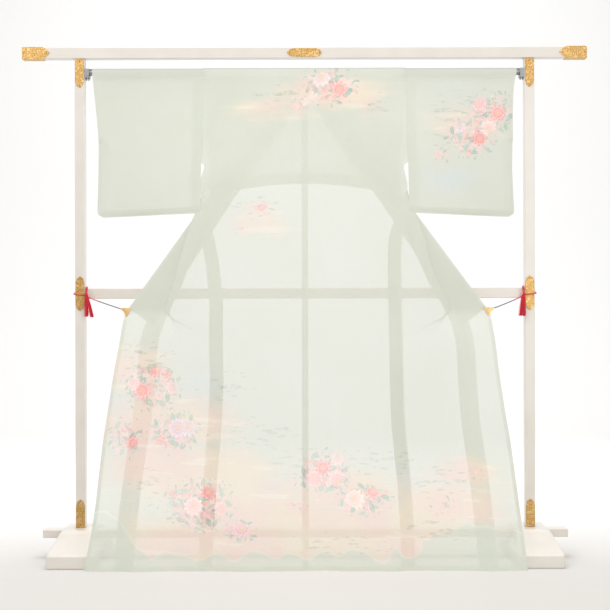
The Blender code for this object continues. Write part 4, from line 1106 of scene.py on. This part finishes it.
def cord_route(side):
    """From the clip up to the knot, then once round the post, over the middle rail."""
    face = POST_HALF + PLATE + 0.0003 + CORD_RADIUS
    clear = POST_HALF + 0.0009 + CORD_RADIUS
    over = RAIL_TOP_Z + CORD_RADIUS + 0.0012
    x = CLIP_X[side] + 0.0143
    y = lean(CLIP_Z) - ROD_Y + measure["outer"](CLIP_Z) + pull_back(CLIP_X[side], CLIP_Z) - 0.0016
    z = CLIP_Z + 0.011
    inner = POST_X - POST_HALF
    points = [
        (x, y, z),
        (mix(x, inner, 0.35), mix(y, -face, 0.4) - 0.002, mix(z, 0.842, 0.33)),
        (mix(x, inner, 0.75), mix(y, -face, 0.8) - 0.003, mix(z, 0.842, 0.74)),
        (inner - 0.002, -face - 0.0012, 0.8430),
        (POST_X, -face, 0.8455),
        (POST_X + POST_HALF + 0.0022, -face + 0.0002, 0.8480),
        (POST_X + clear + 0.001, 0, 0.8520),
        (POST_X + clear - 0.001, clear, 0.8580),
        (POST_X, face + 0.0004, 0.8640),
        (inner - 0.001, clear + 0.0006, over + 0.001),
        (inner - clear + POST_HALF - 0.0012, 0, over + 0.001),
        (inner - 0.004, -clear - 0.001, over - 0.004),
        (inner - 0.005, -face - 0.0085, 0.8560),
        (inner - 0.006, -face - 0.0115, 0.8480),
    ]
    return [Vector((SIDES[side] * x, y + ROD_Y, z)) for x, y, z in points]


def smooth_route(points):
    """Even points along a smooth curve through the route."""
    padded = [points[0] * 2 - points[1]] + points + [points[-1] * 2 - points[-2]]
    dense = []
    for k in range(1, len(padded) - 2):
        a, b, c, d = padded[k - 1:k + 3]
        for t in steps(0, 15 / 16, 15):
            dense.append(((b * 2) + (c - a) * t + (a * 2 - b * 5 + c * 4 - d) * t ** 2
                          + (b * 3 - a - c * 3 + d) * t ** 3) / 2)
    dense.append(points[-1])
    lengths = np.concatenate([[0], np.cumsum([(b - a).length for a, b in zip(dense, dense[1:])])])
    wanted = np.linspace(0, lengths[-1], max(2, round(lengths[-1] / ROUTE_STEP)))
    return [Vector([float(np.interp(w, lengths, [p[i] for p in dense])) for i in range(3)]) for w in wanted]


def rope(name, route, radius, look, plies=2, pitch=0.0045, sides=6):
    """Plies twisted round a route, each a tube; one ply is a plain tube."""
    shape = bmesh.new()
    normal = Vector((0.1, 0.2, 1)).normalized()
    frames = []
    for k, point in enumerate(route):
        ahead = (route[min(k + 1, len(route) - 1)] - route[max(k - 1, 0)]).normalized()
        normal = (normal - ahead * normal.dot(ahead)).normalized()
        frames.append((point, normal, ahead.cross(normal)))
    step = (route[1] - route[0]).length
    ply_radius = radius * (0.56 if plies > 1 else 1)
    for ply in range(plies):
        rings = []
        for k, (point, across, up) in enumerate(frames):
            angle = 2 * pi * (k * step / pitch + ply / plies)
            center = point + (across * cos(angle) + up * sin(angle)) * (radius - ply_radius)
            rings.append([center + (across * cos(a) + up * sin(a)) * ply_radius
                          for a in [2 * pi * i / sides for i in range(sides)]])
        skin(shape, rings)
    bmesh.ops.recalc_face_normals(shape, faces=shape.faces)
    made = shaped(name, shape, look)
    made.data.shade_smooth()
    return made


strands = tree_of("tassel_strands", strand_length=0.07, strand_radius=0.0004, spread=0.004)


def strand_point(down, out):
    """Where a strand passes, as shares of its length and of its spread."""
    length, spread = strands["strand_length"], strands["spread"]
    return length.node("CombineXYZ", {"X": spread * out, "Z": length * -down})


curve = strands["Geometry"].node("GeometryNodeCurveQuadraticBezier", {
    "Resolution": 7, "Start": (0, 0, 0), "Middle": strand_point(0.5, 0.9), "End": strand_point(1.0, 0.6)})
profile = curve.node("GeometryNodeCurvePrimitiveCircle", {"Resolution": 4,
                                                          "Radius": strands["strand_radius"]})
tube = curve.node("GeometryNodeCurveToMesh", {"Curve": curve, "Profile Curve": profile, "Fill Caps": True})
repeat(strands, tube, strands["Geometry"],
       Rotation=tube.node("FunctionNodeRandomValue", {"Min": (-0.04, -0.04, 0), "Max": (0.04, 0.04, 2 * pi),
                                                      "Seed": 5}, "Value", data_type="FLOAT_VECTOR"),
       Scale=tube.node("FunctionNodeRandomValue", {"Min": 0.93, "Max": 1.0, "Seed": 9}, "Value"))

# A bunch's strands spread from the knot on a spiral. Each bunch leans towards the clip by its first
# number, and its second is its length.
STRANDS = 44
BUNCHES = {"left": ((0.03, 0.070), (0.23, 0.072)), "right": ((0.00, 0.071), (0.12, 0.070))}
KNOT_X = 0.7030
KNOT_LOOP = [(KNOT_X, -0.0096, 0.8480), (0.7028, -0.0101, 0.8540), (0.7016, -0.0106, 0.8620),
             (0.6998, -0.0106, 0.8680), (0.6982, -0.0106, 0.8660), (0.6985, -0.0106, 0.8590),
             (0.7005, -0.0096, 0.8485)]
spots = [(0.0033 * sin(2.4 * k) * (k / STRANDS) ** 0.5, 0.0024 * cos(2.4 * k) * (k / STRANDS) ** 0.5, 0)
         for k in range(STRANDS)]
for side, sign in SIDES.items():
    route = smooth_route(cord_route(side))
    split = round(len(route) * ELASTIC_SHARE)
    rope("elastic_" + side, route[:split], ELASTIC_RADIUS, grey, 1, sides=8)
    cord = rope("silk_cord_" + side, route[split - 1:], CORD_RADIUS, red)
    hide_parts("cord_" + side)
    knot = Vector((sign * KNOT_X, ROD_Y - 0.0305, 0.8470))
    for number, (tilt, out) in enumerate(((0.35, 0.0), (1.15, 0.0006), (-0.5, 0.0003))):
        wrap = [knot + Vector((sin(a) * 0.0042, sin(a) * 0.002 + cos(a) * 0.0034 + out,
                               -0.001 + number * 0.0016 + sin(a) * 0.002 * tilt))
                for a in steps(0, 2 * pi * 0.97, 30)]
        rope("knot_wrap_%s_%d" % (side, number), wrap, 0.0013, red, 1, sides=8)
    rope("knot_loop_" + side, smooth_route([Vector((sign * x, y, z)) for x, y, z in KNOT_LOOP]), 0.0017, red)
    for number, (lean_out, length) in enumerate(BUNCHES[side]):
        aside = -sign * 0.003 * number
        bunch = grown("tassel_bunch_%s_%d" % (side, number), strands, spots, [], red, "red_cord",
                      strand_length=length, strand_radius=0.00064, spread=0.0052)
        top = knot + Vector((aside, 0, -0.002))
        for vertex in bunch.data.vertices:
            x, y, z = vertex.co
            vertex.co = top + Vector((x + sign * z * lean_out, y * 0.8, z))
    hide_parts("tassel_" + side)

low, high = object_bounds()
